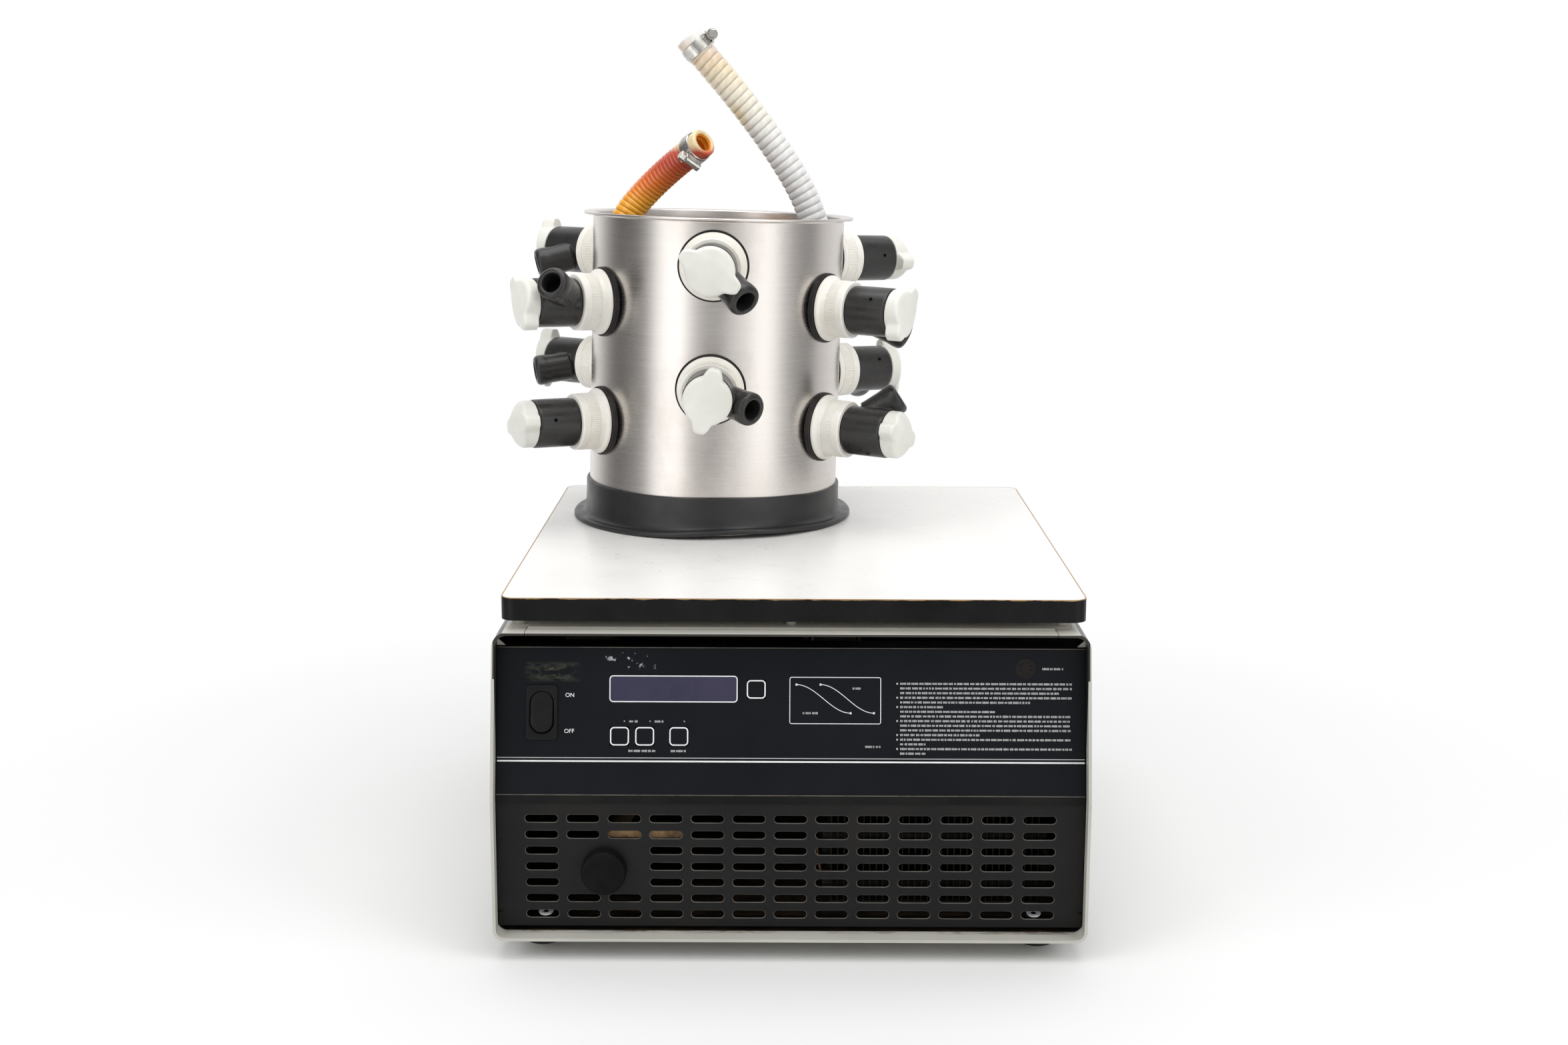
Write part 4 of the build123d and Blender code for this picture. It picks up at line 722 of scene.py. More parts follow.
def nut_shape(n=48):
    """The stub and its nut inside the chamber, cut to the chamber's inner face."""
    rows = []
    for r, t in (
        (12.0, 114.8), (18.9, 114.8), (19.5, 115.4), (19.5, 118.8), (25.4, 118.8), (26.0, 119.4), (26.0, None),
        (12.0, None),
    ):
        row = []
        for j in range(n):
            a, rr = 2 * pi * j / n, r + (0.5 if (j // 4) % 2 and r > 25 else 0.0)
            x = rr * cos(a)
            row.append((x, rr * sin(a), sqrt(CH_IN * CH_IN - x * x) if t is None else t))
        rows.append(row)
    return closed_loop(rows)


SEAT_T, SEAT_R, SEAT_BLEND = 127.6, 36.5, 54.0
seats = [port_frame(az, h, 0.0) for az, h, sp, wg in PORTS.values()]
collar, nut = collar_shape(), nut_shape()
seal = lathe([
    (20.0, SEAT_T - 1.0), (34.4, SEAT_T - 1.0), (34.8, SEAT_T + 1.2), (34.6, RING_OUT - 1.2), (33.6, RING_OUT - 0.2),
    (20.0, RING_OUT - 0.2)])
for label, (az, h, sp, wg) in PORTS.items():
    place = port_frame(az, h, 0.0)
    build("collar_" + label, *collar, collar_mat, slot="collar_plastic", replaces=("port_collars",), place=place,
          sharp=35)
    build("seal_" + label, *seal, seal_mat, slot="seal_rubber", replaces=("port_gaskets",), place=place)
    build("nut_" + label, *nut, collar_mat, slot="collar_plastic", place=place, sharp=35)

# ---- chamber
wall = [(CH_R, 5.0 + 4.0 * i) for i in range(75)] + [(CH_R, 306.5)]
wall += arc(CH_R + 1.9, 306.6, 1.9, 180, 100, 6) + [(134.6, 309.0)]
wall += arc(136.3, 309.9, 1.4, -60, 110, 10) + [(131.0, 311.0), (128.6, 310.6)]
wall += arc(CH_IN + 1.9, 308.9, 1.9, 100, 180, 5) + [(CH_IN, 300.0), (CH_IN, 150.0), (CH_IN, 5.0)]
verts, faces = lathe(wall, 256)
verts = [tuple(CHAMBER @ Vector(p)) for p in verts]
verts = [flat_wall(v) if Vector(v[:2]).length > CH_R - 0.1 and v[2] < 304 else v for v in verts]
build("chamber_wall", verts, faces, chamber_mat, slot="chamber_steel", replaces=("drying_chamber",), sharp=50)


# ---- gasket
def gasket_shape(n=240):
    """The chamber's rubber boot, its flange buckled up a little at the front."""
    top, sections = 37.0, []
    for j in range(n):
        a = 2 * pi * j / n
        d = math.degrees((a + pi / 2 + pi) % (2 * pi) - pi)
        up = 4.6 * math.exp(-((d - 12) / 26.0) ** 2) + 1.2 * math.exp(-((d - 40) / 10.0) ** 2)
        dent = 2.4 * math.exp(-((d - 12) / 12.0) ** 2)
        flange = [
            (143.2 - dent, 0.3 + up), (144.0 - dent, 1.2 + up), (144.0 - dent, 3.6 + up), (143.0 - dent, 5.0 + up),
            (139.5 - dent * 0.7, 5.2 + up * 0.92), (136.5 - dent * 0.4, 5.4 + up * 0.8), (134.2, 6.6 + up * 0.7),
            (132.6, 9.2 + up * 0.6), (131.6, 13.5 + up * 0.45)]
        sleeve = [
            (131.5, 20.0 + up * 0.35), (131.5, top - 1.6 + up * 0.45), (131.0, top - 0.3 + up * 0.45),
            (129.9, top + up * 0.45), (128.4, top + up * 0.45), (128.4, 6.0), (126.7, 6.0), (126.7, 14.0), (121.4, 14.0)]
        pts = [WELL + Vector((r * cos(a), r * sin(a), z)) for r, z in [(121.0, 0.3)] + flange]
        pts += [CHAMBER @ Vector((r * cos(a), r * sin(a), z)) for r, z in sleeve]
        sections.append([tuple(p) for p in pts + [WELL + Vector((121.0 * cos(a), 121.0 * sin(a), 5.0))]])
    return closed_loop(sections)


build("gasket_boot", *gasket_shape(), gasket_mat, slot="seal_rubber", replaces=("chamber_gasket",), sharp=60)

# ---- hose
HOSE_OD, HOSE_ID = 29.4, 19.0
RIB_TIGHT, RIB_OPEN = 5.0, 8.0
samples, hose_length = route_samples(HOSE, 2000)
frames = []
side = Vector((0, 1, 0)).cross(samples[1] - samples[0]).normalized()
for i in range(len(samples)):
    t = (samples[min(i + 1, len(samples) - 1)] - samples[max(i - 1, 0)]).normalized()
    side = (side - t * side.dot(t)).normalized()
    frames.append((side.copy(), t.cross(side)))


def hose_point(run, a, r):
    """A point of the hose: how far along it in mm, at what angle and radius."""
    u = min(max(run * MM / hose_length, 0.0), 1.0) * (len(samples) - 1)
    i = min(int(u), len(samples) - 2)
    f = u - i
    x = frames[i][0].lerp(frames[i + 1][0], f)
    y = frames[i][1].lerp(frames[i + 1][1], f)
    return tuple((samples[i].lerp(samples[i + 1], f) + (x * cos(a) + y * sin(a)) * r * MM) / MM)


def hose_mesh():
    """The ribbed wall wound as one helix, its two smooth ends, and the first stretch of its bore."""
    n, per = 32, 8
    total = hose_length / MM
    first, last = 17.0, total - 17.0 - RIB_OPEN
    turns = 2 * (last - first) / (RIB_TIGHT + RIB_OPEN)
    count = int(turns * per)
    outer, inner = HOSE_OD / 2, HOSE_ID / 2
    verts, faces, kinds = [], [], []
    for i in range(count + per + 1):
        swell = abs(sin(pi * (i % per) / per)) ** 0.55
        for j in range(n):
            wound = i / per + j / n
            run = first + RIB_TIGHT * wound + (RIB_OPEN - RIB_TIGHT) * wound ** 2 / (2 * turns)
            verts.append(hose_point(run, 2 * pi * j / n, outer - 1.15 + 1.15 * swell))
    for i in range(count):
        for j in range(n):
            b = i * n + j
            c = b + 1 if j < n - 1 else (i + per) * n
            d = b + n + 1 if j < n - 1 else (i + per + 1) * n
            faces.append((b, b + n, d, c))
            # Faces at the bottom of each groove take the darker groove material, painted shade.
            kinds.append(1 if i % per in (0, per - 1) else 0)
    for sign, start in ((1, 0.0), (-1, total)):
        rows = []
        loop = [
            (25.0, outer - 0.9), (14.0, outer - 0.35), (3.0, outer - 0.3), (1.0, outer - 0.7), (0.2, outer - 1.7),
            (0.0, outer - 2.6), (0.2, inner + 0.9), (1.0, inner + 0.2)]
        loop += [(2.0 + k * 1.2, inner - 0.1 - (0.9 if k % 5 in (0, 1) else 0.0)) for k in range(60)]
        for run, r in loop:
            rows.append(len(verts))
            for j in range(n):
                verts.append(hose_point(start + sign * run, 2 * pi * j / n, r))
        for k, (a0, b0) in enumerate(zip(rows, rows[1:])):
            for j in range(n):
                jj = (j + 1) % n
                faces.append((a0 + j, a0 + jj, b0 + jj, b0 + j))
                kinds.append(0 if k < 7 else 2 + ((k - 8) % 5 in (0, 1)))
        faces.append(tuple(rows[-1] + j for j in range(n)))
        kinds.append(2)
    return verts, faces, kinds


hose_verts, hose_faces, hose_kinds = hose_mesh()
hose_data = raw_mesh("hose_tube", hose_verts, hose_faces)
for m in (hose_mat, hose_groove_shade_mat, hose_bore_mat, hose_rib_mat):
    hose_data.materials.append(m)
hose_data.polygons.foreach_set("material_index", hose_kinds)
hose_data.shade_smooth()
hose = add_object("hose_tube", hose_data)
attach(hose, "cabinet")
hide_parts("hose")


# ---- clamps
def clamp_place(end, inner):
    end, inner = Vector(end), Vector(inner)
    along = (end - inner).normalized()
    return frame_of(end - along * 21.5, Vector((0, 0, 1)).cross(along), along)


def box_shape(x0, x1, y0, y1, z0, z1, bevel=0.0, segments=3):
    bm = bmesh.new()
    bmesh.ops.create_cube(bm, size=1.0)
    for v in bm.verts:
        sides = zip(v.co, ((x0, x1), (y0, y1), (z0, z1)))
        v.co = Vector([(low + high) / 2 + c * (high - low) for c, (low, high) in sides])
    if bevel > 0:
        bmesh.ops.bevel(bm, geom=list(bm.edges), offset=bevel, segments=segments, profile=0.5, affect="EDGES")
    bm.verts.index_update()
    verts = [tuple(v.co) for v in bm.verts]
    faces = [tuple(v.index for v in f.verts) for f in bm.faces]
    bm.free()
    return verts, faces


def clamp_shape(angle):
    """A worm-drive clamp round the hose, 13 mm wide, its screw housing at an angle."""
    r0, r1, w = 14.75, 15.6, 13.0
    parts = [lathe([(r0, 0.0), (r0 + 0.3, 0.0), (r1, 0.5), (r1, w - 0.5), (r0 + 0.3, w), (r0, w)], 120)]
    for k in range(34):
        m = turn(360 * k / 34) @ shift(r1 + 0.02, 0, w / 2) @ turn(14, "X")
        parts.append(moved(box_shape(-0.1, 0.16, -0.55, 0.55, -3.9, 3.9, 0.08, 1), m))
    rot = turn(angle)
    side = turn(90, "X")
    m = rot @ shift(r1 + 4.0, 0, w / 2) @ side
    housing = [
        (0, -9.5), (3.2, -9.5), (4.2, -9.0), (4.3, -6.4), (3.9, -6.2), (3.9, 5.2), (4.3, 5.4), (4.3, 8.0), (3.4, 8.4),
        (0, 8.4)]
    parts.append(moved(turned(housing, 36), m))
    parts.append(moved(box_shape(r0 + 0.6, r1 + 2.6, -7.6, 7.0, 0.9, w - 0.9, 0.7), rot))
    for y0, y1 in ((-8.6, -7.2), (6.6, 8.0)):
        parts.append(moved(box_shape(r1 - 0.3, r1 + 1.3, y0, y1, -0.6, w + 0.6, 0.4), rot))
    head = [[(0, 0, 9.6)]]
    for z, r in ((9.6, 4.2), (10.0, 4.9), (14.4, 4.9), (15.0, 4.2)):
        head.append([(r * cos(2 * pi * j / 6 + 0.2), r * sin(2 * pi * j / 6 + 0.2), z) for j in range(6)])
    head.append([(0, 0, 15.0)])
    parts.append(moved(grid(head), m))
    parts.append(moved(turned([(0, 8.8), (5.6, 8.8), (5.8, 9.2), (5.6, 9.7), (0, 9.7)], 32), m))
    parts.append(moved(turned([(0, 8.2), (2.6, 8.2), (2.6, 9.8), (0, 9.8)], 24), m))
    return join(parts)


clamp_left, clamp_right = [
    build("hose_clamp_" + side, *clamp_shape(angle), clamp_mat, slot="zinc_steel", replaces=("hose_clamps",),
          place=clamp_place(*ends), sharp=30)
    for side, angle, ends in (("left", -128.0, HOSE[:2]), ("right", 96.0, HOSE[:-3:-1]))]


# ---- printed marks on the panel
FILM = 0.4


def on_panel(x, s, up=0.0):
    return PANEL @ Vector((x, s, FILM + up))


def ribbon(points, width, closed=False, up=0.05):
    """A thin printed line through points on the panel."""
    pts = [Vector((x, s)) for x, s in points]
    n = len(pts)
    verts, faces = [], []
    for i in range(n):
        if closed:
            a, b = pts[i - 1], pts[(i + 1) % n]
        else:
            a, b = pts[max(i - 1, 0)], pts[min(i + 1, n - 1)]
        d = (b - a).normalized()
        side = Vector((-d.y, d.x)) * width / 2
        for q in (1, -1):
            p = pts[i] + side * q
            verts += [tuple(on_panel(p.x, p.y, up)), tuple(on_panel(p.x, p.y, -0.02))]
    m = n if closed else n - 1
    for i in range(m):
        a, b = 4 * i, 4 * ((i + 1) % n)
        faces += [(a, b, b + 2, a + 2), (a + 1, a + 3, b + 3, b + 1), (a, a + 1, b + 1, b), (a + 2, b + 2, b + 3, a + 3)]
    if not closed:
        faces += [(0, 2, 3, 1), (4 * n - 4, 4 * n - 3, 4 * n - 1, 4 * n - 2)]
    return verts, faces


def rounded(x, s, w, h, r, n=6):
    """The outline of a rectangle with rounded corners."""
    out = []
    for k, (side, end) in enumerate(((1, 1), (-1, 1), (-1, -1), (1, -1))):
        out += arc(x + side * (w / 2 - r), s + end * (h / 2 - r), r, 90 * k, 90 * k + 90, n)
    return out


def printed(name, shapes, mat=None):
    build(name, *join(shapes), mat or print_mat, slot="overlay", smooth=False)


def dash(x, s, length, width, up=0.05):
    return ribbon([(x - length / 2, s), (x + length / 2, s)], width, up=up)


def swoop(x0, s0, x1, s1, n=28):
    """An S-shaped line from one point to the other."""
    return [(x0 + (x1 - x0) * i / n, s0 + (s1 - s0) * (0.5 - 0.5 * cos(pi * i / n))) for i in range(n + 1)]


printed("print_window", [ribbon(rounded(-101.4, 91.95, 109.6, 22.1, 2.8), 0.9, True)])
KEYS = {"key_left": (-147.7, 51.2), "key_middle": (-126.0, 51.2), "key_right": (-96.6, 51.2), "key_menu": (-30.1, 91.9)}
printed("print_graph", [
    ribbon(rounded(38.05, 82.5, 78.3, 39.8, 1.6), 0.6, True),
    ribbon(swoop(4.6, 96.1, 51.3, 71.7), 0.55),
    ribbon(swoop(25.3, 96.2, 71.4, 71.8), 0.55),
] + [dash(x, s, 1.6, 1.7) for x, s in ((4.6, 96.1), (51.3, 71.7), (25.3, 96.2), (71.4, 71.8))])
printed("print_rule_white", [dash(0.0, 29.7, 506.0, 1.35)])
printed("print_rule_grey", [dash(0.0, 32.6, 506.0, 0.7)], print_dim)


def greek(x0, x1, s, height, seed):
    """One line of small marks that stands for print, with nothing to read."""
    rnd = random.Random(seed)
    out = []
    x = x0
    while x < x1 - 1.2:
        end = min(x + rnd.choice((1.6, 2.4, 3.0, 3.8, 4.8, 5.8)), x1)
        y = x
        while y < end - 0.3:
            w = min(rnd.uniform(0.45, 0.85), end - y)
            h = height * rnd.uniform(0.72, 1.0)
            out.append(ribbon([(y, s), (y + w, s)], h, up=0.03))
            y += w + 0.22
        x = end + 0.9
    return out


lines = []
row_ends = [242, 242, 231, 242, 206, 131, 176, 241, 242, 242, 241, 164, 242, 118, 242, 116]
bullets = [0, 3, 5, 8, 11, 12, 14]
for i, end in enumerate(row_ends):
    s = 97.2 - i * 4.0
    lines += greek(94.0, end, s, 2.0, 10 + i)
    if i in bullets:
        lines.append(dash(91.45, s, 1.5, 1.5, up=0.03))
for x0, x1, s, seed in (
    (-139.4, -131.9, 63.9, 61), (-117.4, -110.1, 63.9, 62), (-140.0, -115.0, 38.6, 63), (-103.5, -88.8, 38.6, 64),
    (-36.0, -24.4, 91.9, 65), (53.0, 61.6, 92.9, 66), (10.0, 24.6, 71.6, 67), (64.0, 77.0, 42.9, 68),
    (216.5, 236.5, 110.3, 69),
):
    lines += greek(x0, x1, s, 2.0, seed)
printed("print_small", lines, print_dim)
printed("print_lamps", [dash(x, 64.1, 1.0, 1.0) for x in (-143.6, -121.5, -92.0)], print_dim)


def letters(name, text, x, s, size):
    curve = bpy.data.curves.new(name, "FONT")
    curve.body = text
    curve.size = size * MM
    curve.align_x = "CENTER"
    curve.align_y = "CENTER"
    curve.extrude = 0.00003
    holder = bpy.data.objects.new(name, curve)
    mesh = bpy.data.meshes.new_from_object(holder)
    bpy.data.objects.remove(holder)
    m = PANEL.copy()
    m.translation = on_panel(x, s, 0.03) * MM
    mesh.transform(m)
    finish_mesh(name, mesh, print_mat, "cabinet", (), smooth=False)


letters("print_on", "ON", -190.7, 86.2, 5.0)
letters("print_off", "OFF", -191.1, 55.3, 5.0)


# ---- keys, switch, drain plug
KEY_W, KEY_H, KEY_R = 16.2, 15.8, 3.2
KEY_LEVELS = ((0, -1.6), (0, 0.55), (0.25, 0.82), (0.7, 0.9), (1.6, 0.9), (2.0, 0.84), (7.0, 0.84))
pad = grid([
    [(x, y, z) for x, y in rounded(0, 0, KEY_W - 2 * inset, KEY_H - 2 * inset, max(KEY_R - inset, 0.4))]
    for inset, z in KEY_LEVELS])
for label, (kx, ks) in KEYS.items():
    place = PANEL @ shift(kx, ks, 0.0)
    build("cap_" + label, *pad, film_mat, label, "key_cap", (label,), place=place)
    outline = ribbon(rounded(kx, ks, KEY_W - 1.0, KEY_H - 1.0, 2.9), 1.05, True, up=0.56)
    build("outline_" + label, *outline, print_mat, label, "overlay", smooth=False)

SW = PANEL @ shift(-214.65, 71.5, 0.4)


def stadium(w, h, n=16):
    """An upright slot's outline."""
    r = w / 2
    turns = [(pi * i / n, h / 2 - r) for i in range(n + 1)] + [(pi + pi * i / n, r - h / 2) for i in range(n + 1)]
    return [(r * cos(a), y + r * sin(a)) for a, y in turns]


def bezel_shape():
    hole = stadium(20.5, 36.4)

    def square(w, h):
        out = []
        for x, y in hole:
            a = math.atan2(y / h, x / w)
            k = 1.0 / max(abs(cos(a)), abs(sin(a)))
            out.append((w / 2 * cos(a) * k, h / 2 * sin(a) * k))
        return out

    levels = (
        (square(26.9, 47.2), -0.35), (square(26.9, 47.2), 1.5), (square(26.5, 46.8), 1.9), (square(25.9, 46.2), 2.0),
        (square(23.4, 42.6), 2.0), (stadium(21.4, 37.3), 1.75), (hole, 1.1), (hole, -9.0))
    return grid([[(x, y, z) for x, y in pts] for pts, z in levels], close_start=False)


build("switch_bezel", *bezel_shape(), bezel_mat, slot="switch_black", replaces=("switch_housing",), place=SW, sharp=30)


ROCK = 8.0


def rocker_shape():
    """The rocker about its pivot. Its two halves slope up from the middle."""
    rows = []
    for k, level, drop in (
        (0.86, -3.4, 0), (1.0, -1.6, 0), (1.0, None, 1.5), (0.94, None, 0.35), (0.80, None, 0), (0.5, None, 0),
        (0.2, None, 0),
    ):
        outline = stadium(19.6 * k, 35.4 * k, 20)
        rows.append([(x, y, 5.4 + abs(y) * tan(radians(ROCK)) - drop if level is None else level) for x, y in outline])
    return grid(rows + [ring(0, 5.4, 1)])


pivot = SW @ shift(0, 0, 2.0 - 5.0) @ turn(-ROCK, "X")
build("rocker_cap", *rocker_shape(), bezel_mat, "power_rocker", "switch_black", ("power_rocker",), place=pivot, sharp=40)

PLUG = frame_of((-161.4, -258.8, 76.16), (1, 0, 0), (0, -1, 0))
stem = [ring(r, z, 48) for r, z in ((0, -25.0), (8.4, -25.0), (9.0, -24.2), (9.0, 0.0))]
head = [
    (18.6, 0.0), (19.3, 0.6), (19.5, 1.6), (19.3, 8.6), (18.9, 9.9), (17.8, 10.8), (16.4, 11.0), (14.6, 10.6),
    (13.8, 10.3), (0, 10.2)]
plug = grid(stem + [ring(r, z, 96) for r, z in head])
build("drain_plug_cap", *plug, plug_mat, "drain_plug", "inlet_black", ("drain_plug",), place=PLUG, sharp=40)

for name, side in (("left", -1), ("right", 1)):
    tab = [(side * 254.2, -233.0, 270.0), (side * 247.0, -233.0, 270.0), (side * 254.2, -233.0, 276.5)]
    tab += [(x, y + 1.2, z) for x, y, z in tab]
    sides = [(0, 1, 2), (3, 5, 4), (0, 3, 4, 1), (1, 4, 5, 2), (2, 5, 3, 0)]
    build("corner_tab_" + name, tab, sides, riser_mat, slot="shell_paint", sharp=20)
# Thin light lines along the panel's top edge and along its knee: painted highlights.
for name, s, w in (("top", 127.4, 0.7), ("knee", 0.7, 0.8)):
    build("panel_highlight_line_" + name, *dash(0.0, s, 507.0, w), edge_highlight_mat, slot="panel_paint")

# ---- recorder socket
SOCKET = PANEL @ shift(202.3, 110.9, 0.0)
rim = [(7.3, -1.4), (7.3, 0.5), (7.7, 0.75), (8.4, 0.75), (8.8, 0.4), (8.8, -1.4)]
build("socket_rim", *lathe(rim, 72), socket_mat, slot="inlet_black", replaces=("recorder_socket",), place=SOCKET)
PIN_R = 4.6
contact = turned([(0, -0.2), (1.25, -0.2), (1.25, 0.0), (0.7, 0.12), (0.55, -0.1), (0, -0.1)], 20)
insert = [turned([(0, -1.4), (7.3, -1.4), (7.3, 0.0), (6.9, 0.1), (5.6, -0.1), (0, -0.1)], 64)]
for k in range(8):
    a = radians(22.5 + 45 * k)
    insert.append(moved(contact, shift(PIN_R * cos(a), PIN_R * sin(a), 0)))
build("socket_insert", *join(insert), socket_mat, slot="inlet_black", place=SOCKET)

# ---- intake grille
SLOT_W, SLOT_H, PITCH_X, PITCH_Z, COLS, ROWS = 28.3, 6.75, 35.87, 14.45, 13, 7
GRILLE_LOW, GRILLE_HIGH, GRILLE_HALF, SLOT_TOP = 24.6, 141.0, 254.2, 21.35
GRILLE_Y, SHEET = Y_PANEL + 1.5, 1.5
PLUG_R = 15.0


def slot_reach(a, grow):
    """How far the slot's edge is from its middle at an angle."""
    r, flat = SLOT_H / 2 + grow, (SLOT_W - SLOT_H) / 2
    c, v = abs(cos(a)), abs(sin(a))
    if v > 1e-6 and r / v * c <= flat:
        return r / v
    return flat * c + sqrt(max(flat * flat * (c * c - 1) + r * r, 0.0))


def cell_angles(w, h, reach):
    """The angles at which a cell has corners, so that its hole's ends and its own corners are kept."""
    flat = (SLOT_W - SLOT_H) / 2
    marks = [math.atan2(h, w), math.atan2(h, -w), math.atan2(-h, -w), math.atan2(-h, w)]
    if reach is slot_reach:
        for k in range(9):
            q = radians(-90 + 22.5 * k)
            x, z = flat + SLOT_H / 2 * cos(q), SLOT_H / 2 * sin(q)
            marks += [math.atan2(z, x), math.atan2(z, -x)]
    else:
        marks += [2 * pi * k / 48 - pi + 0.01 for k in range(48)]
    return sorted(marks)


def cell(cx, cz, w, h, reach):
    """One cell of the plate round its hole: the plate's faces, and the band round the hole's edge, painted lighter as a
    highlight.
    """
    loops = []
    angles = cell_angles(w, h, reach)
    for edge, y in ((None, 0.0), (0.5, 0.0), (0.0, 0.45), (0.0, SHEET), (None, SHEET)):
        row = []
        for a in angles:
            k = min(w / max(abs(cos(a)), 1e-9), h / max(abs(sin(a)), 1e-9)) if edge is None else reach(a, edge)
            row.append((cx + k * cos(a), GRILLE_Y + y, cz + k * sin(a)))
        loops.append(row)
    bands = [grid([a, b], False, False) for a, b in zip(loops, loops[1:])]
    plate_parts.extend([bands[0]] + bands[2:])
    rim_parts.append(bands[1])


def plain(x0, x1, z0, z1):
    v = [(x0, GRILLE_Y, z0), (x1, GRILLE_Y, z0), (x1, GRILLE_Y, z1), (x0, GRILLE_Y, z1)]
    sides = [(0, 1, 2, 3), (4, 7, 6, 5), (0, 4, 5, 1), (1, 5, 6, 2), (2, 6, 7, 3), (3, 7, 4, 0)]
    return v + [(x, y + SHEET, z) for x, y, z in v], sides


plate_parts, rim_parts = [], []
col_x = [(i - (COLS - 1) / 2) * PITCH_X for i in range(COLS)]
row_z = [Z_KNEE - SLOT_TOP - i * PITCH_Z for i in range(ROWS)]
for i, x in enumerate(col_x):
    for j, z in enumerate(row_z):
        if i in (1, 2) and j in (2, 3, 4):
            continue
        cell(x, z, PITCH_X / 2, PITCH_Z / 2, slot_reach)
cell((col_x[1] + col_x[2]) / 2, row_z[3], PITCH_X, PITCH_Z * 1.5, lambda a, grow: PLUG_R + grow)
left, right = col_x[0] - PITCH_X / 2, col_x[-1] + PITCH_X / 2
low, high = row_z[-1] - PITCH_Z / 2, row_z[0] + PITCH_Z / 2
plate_parts += [
    plain(-GRILLE_HALF, left, GRILLE_LOW, GRILLE_HIGH), plain(right, GRILLE_HALF, GRILLE_LOW, GRILLE_HIGH),
    plain(left, right, GRILLE_LOW, low), plain(left, right, high, GRILLE_HIGH),
    box_shape(-GRILLE_HALF, GRILLE_HALF, GRILLE_Y + SHEET, GRILLE_Y + 20.0, GRILLE_LOW, GRILLE_LOW + SHEET)]
build("grille_plate", *join(plate_parts), grille_mat, slot="panel_paint", replaces=("intake_grille",), sharp=30)
# The bands round the slots take the painted highlight colour.
build("grille_edge_highlight", *join(rim_parts), edge_highlight_mat, slot="panel_paint", sharp=60)
strip = box_shape(col_x[2] - 15.0, col_x[3] + 15.5, GRILLE_Y + 6.0, GRILLE_Y + 9.0, row_z[1] - 5.2, row_z[1] + 4.6, 1.2)
build("inner_strip", *strip, strip_mat, slot="foam")
washer = turned([(2.6, 0.0), (6.2, 0.0), (6.4, 0.5), (6.2, 1.0), (2.8, 1.0), (2.6, 0.0)], 40, False, False)
# The washers take the white print paint, much lighter than zinc: painted light for the dim inside behind the grille.
for name, x in (("left", col_x[0] + 1.5), ("right", col_x[-1] - 2.0)):
    place = frame_of((x, GRILLE_Y + 9.5, row_z[-1] - 2.2), (1, 0, 0), (0, -0.2, 1))
    build("foot_washer_" + name, *washer, print_mat, slot="zinc_steel", place=place)

# ---- CAD nodes that keep their shape
CAD_MATS = {
    "shell": shell_mat, "riser_plate": riser_mat, "front_panel": panel_mat, "control_overlay": film_mat,
    "display_window": lcd_mat, "worktop_board": laminate_mat, "worktop_edge_band": band_mat, "rear_panel": rear_mat,
    "feet": foot_mat, "screws": screw_mat, "collector_well": well_mat, "collector_insulation": foam_mat,
    "evaporator_coil": copper_mat, "compressor": enamel_mat, "condenser": fin_shade_mat, "fan_motor": motor_mat,
    "fan_blade": fan_mat, "control_board": board_mat, "drain_line": drain_mat, "vacuum_line": zinc_mat,
    "power_inlet": inlet_mat,
}
for obj in scene.objects:
    node = obj.get("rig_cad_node")
    if node in CAD_MATS:
        obj.data.materials.clear()
        obj.data.materials.append(CAD_MATS[node])

# ---- stage and light
def seen_directly(path):
    t = path.id_data
    return calc(t, "ADD", path.outputs["Is Camera Ray"], path.outputs["Is Transmission Ray"], clamp=True)


def floor_material():
    """A pale floor that keeps its shadow near the object and fades to white further out."""
    m, t, s = new_material("floor_pale")
    put(s, Base_Color=(0.80, 0.80, 0.80, 1.0), Roughness=0.7)
    e = new_node(t, "Emission")
    x, y, z = position(t)
    fade = greys(t, calc(t, "SQRT", calc(t, "ADD", times(t, x, x), times(t, y, y))), (0.34, 0.0), (0.95, 1.0))
    fac = times(t, fade, seen_directly(new_node(t, "LightPath")))
    blend = new_node(t, "MixShader")
    for socket, value in zip(blend.inputs, (fac, s.outputs[0], e.outputs[0])):
        t.links.new(value, socket)
    put(t.nodes["Material Output"], Surface=blend.outputs[0])
    return m


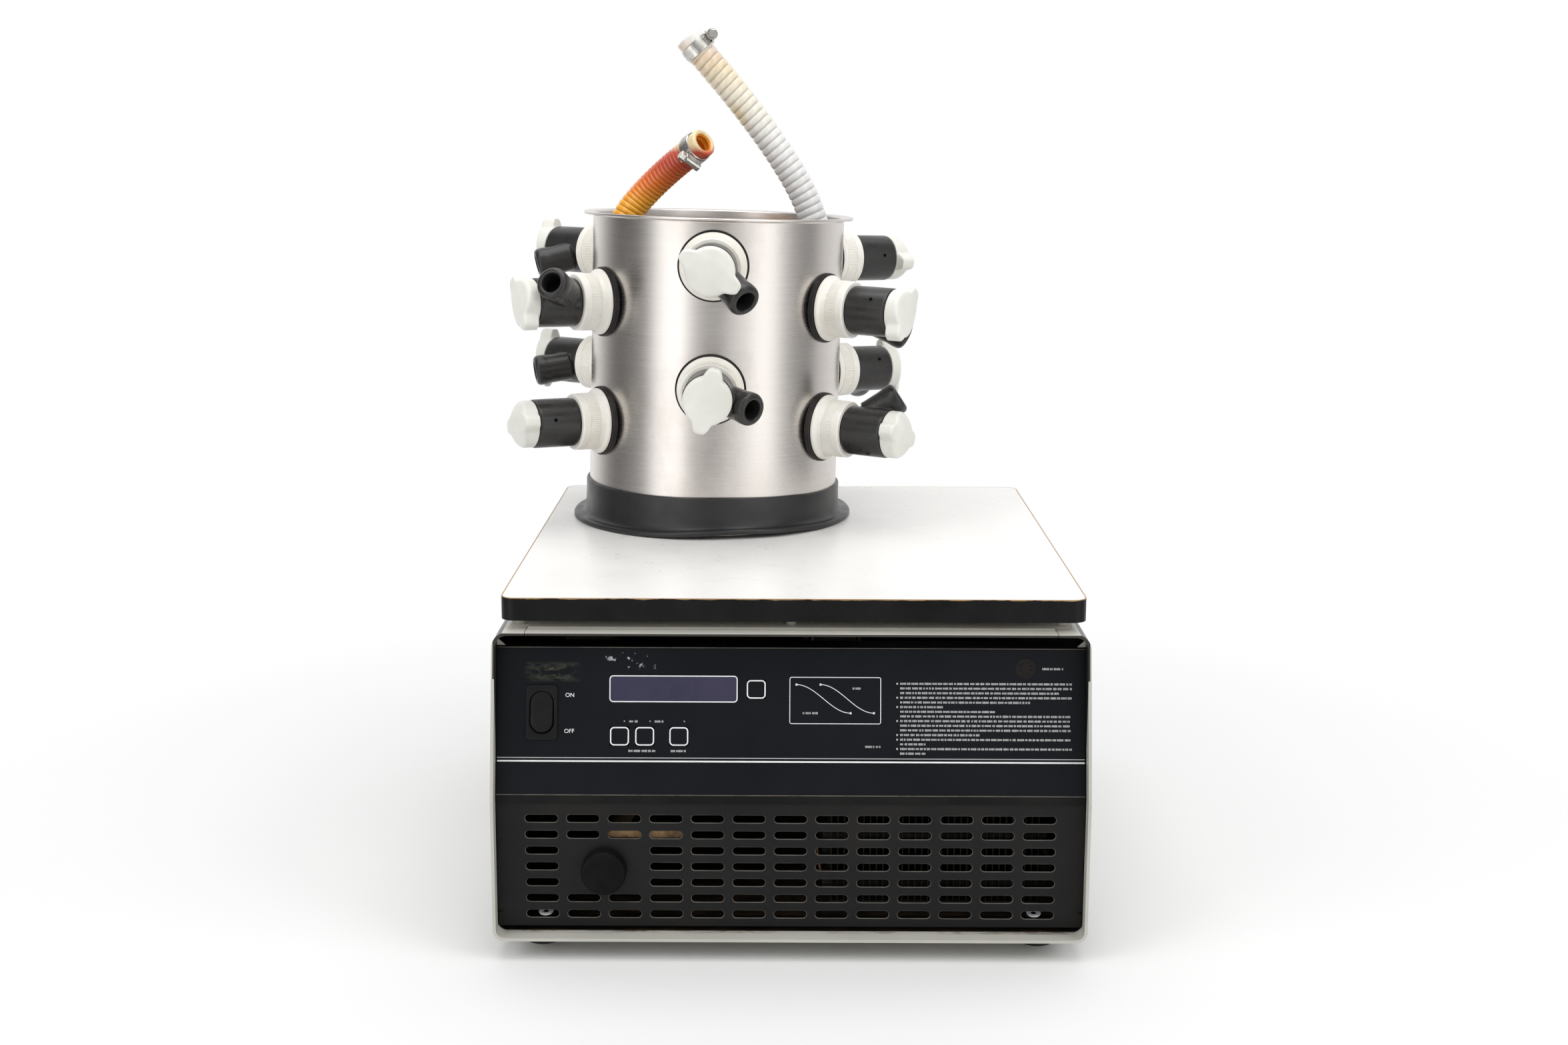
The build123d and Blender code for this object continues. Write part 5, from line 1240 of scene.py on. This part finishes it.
mesh = raw_mesh("floor", ring(1300.0, 0.0, 64), [tuple(range(64))])
mesh.materials.append(floor_material())
floor = add_object("floor", mesh)

world = bpy.data.worlds.new("studio")
scene.world = world
wt = cleared_tree(world)
bg = new_node(wt, "Background")
put(new_node(wt, "OutputWorld"), Surface=bg.outputs[0])
co = new_node(wt, "TexCoord")
xyz = new_node(wt, "SeparateXYZ")
put(xyz, Vector=co.outputs["Generated"])
az = calc(wt, "ARCTAN2", xyz.outputs[0], times(wt, xyz.outputs[1], -1.0))
az = calc(wt, "ADD", calc(wt, "DIVIDE", az, 2 * pi), 0.5)
# What the steel mirrors, all round from behind the object: 0.5 is the camera's side.
studio = greys(
    wt, az, (0.00, 0.95), (0.09, 1.10), (0.13, 0.86), (0.165, 0.52), (0.19, 0.27), (0.225, 0.13), (0.27, 0.20),
    (0.318, 0.30), (0.336, 0.75), (0.352, 1.40), (0.40, 1.85), (0.418, 1.85), (0.436, 1.05), (0.455, 0.60),
    (0.475, 0.46), (0.515, 0.43), (0.54, 0.82), (0.585, 1.08), (0.61, 1.60), (0.65, 1.55), (0.672, 0.88),
    (0.70, 0.47), (0.745, 0.30), (0.77, 0.31), (0.81, 0.72), (0.88, 0.92), (1.0, 0.95))
lp = new_node(wt, "LightPath")
col = mix(wt, lp.outputs["Is Glossy Ray"], grey(0.62), studio)
put(bg, Color=mix(wt, seen_directly(lp), col, grey(1.0)), Strength=1.0)


def area(name, place, target, size, power):
    """A square lamp. The side lamps aren't mirrored, because the studio above already is."""
    data = bpy.data.lights.new(name, "AREA")
    data.energy = power
    data.shape = "RECTANGLE"
    data.size = data.size_y = size
    obj = add_object(name, data)
    obj.location = place
    obj.rotation_euler = (Vector(target) - Vector(place)).to_track_quat("-Z", "Y").to_euler()
    obj.visible_glossy = place[0] == 0


area("soft_left", (-2.2, -1.6, 1.9), (0, 0, 0.3), 1.6, 27)
area("soft_right", (2.2, -1.4, 1.9), (0, 0, 0.3), 1.6, 27)
area("soft_top", (0, -0.1, 3.0), (0, 0, 0), 2.4, 40)

scene.view_settings.view_transform = "Standard"
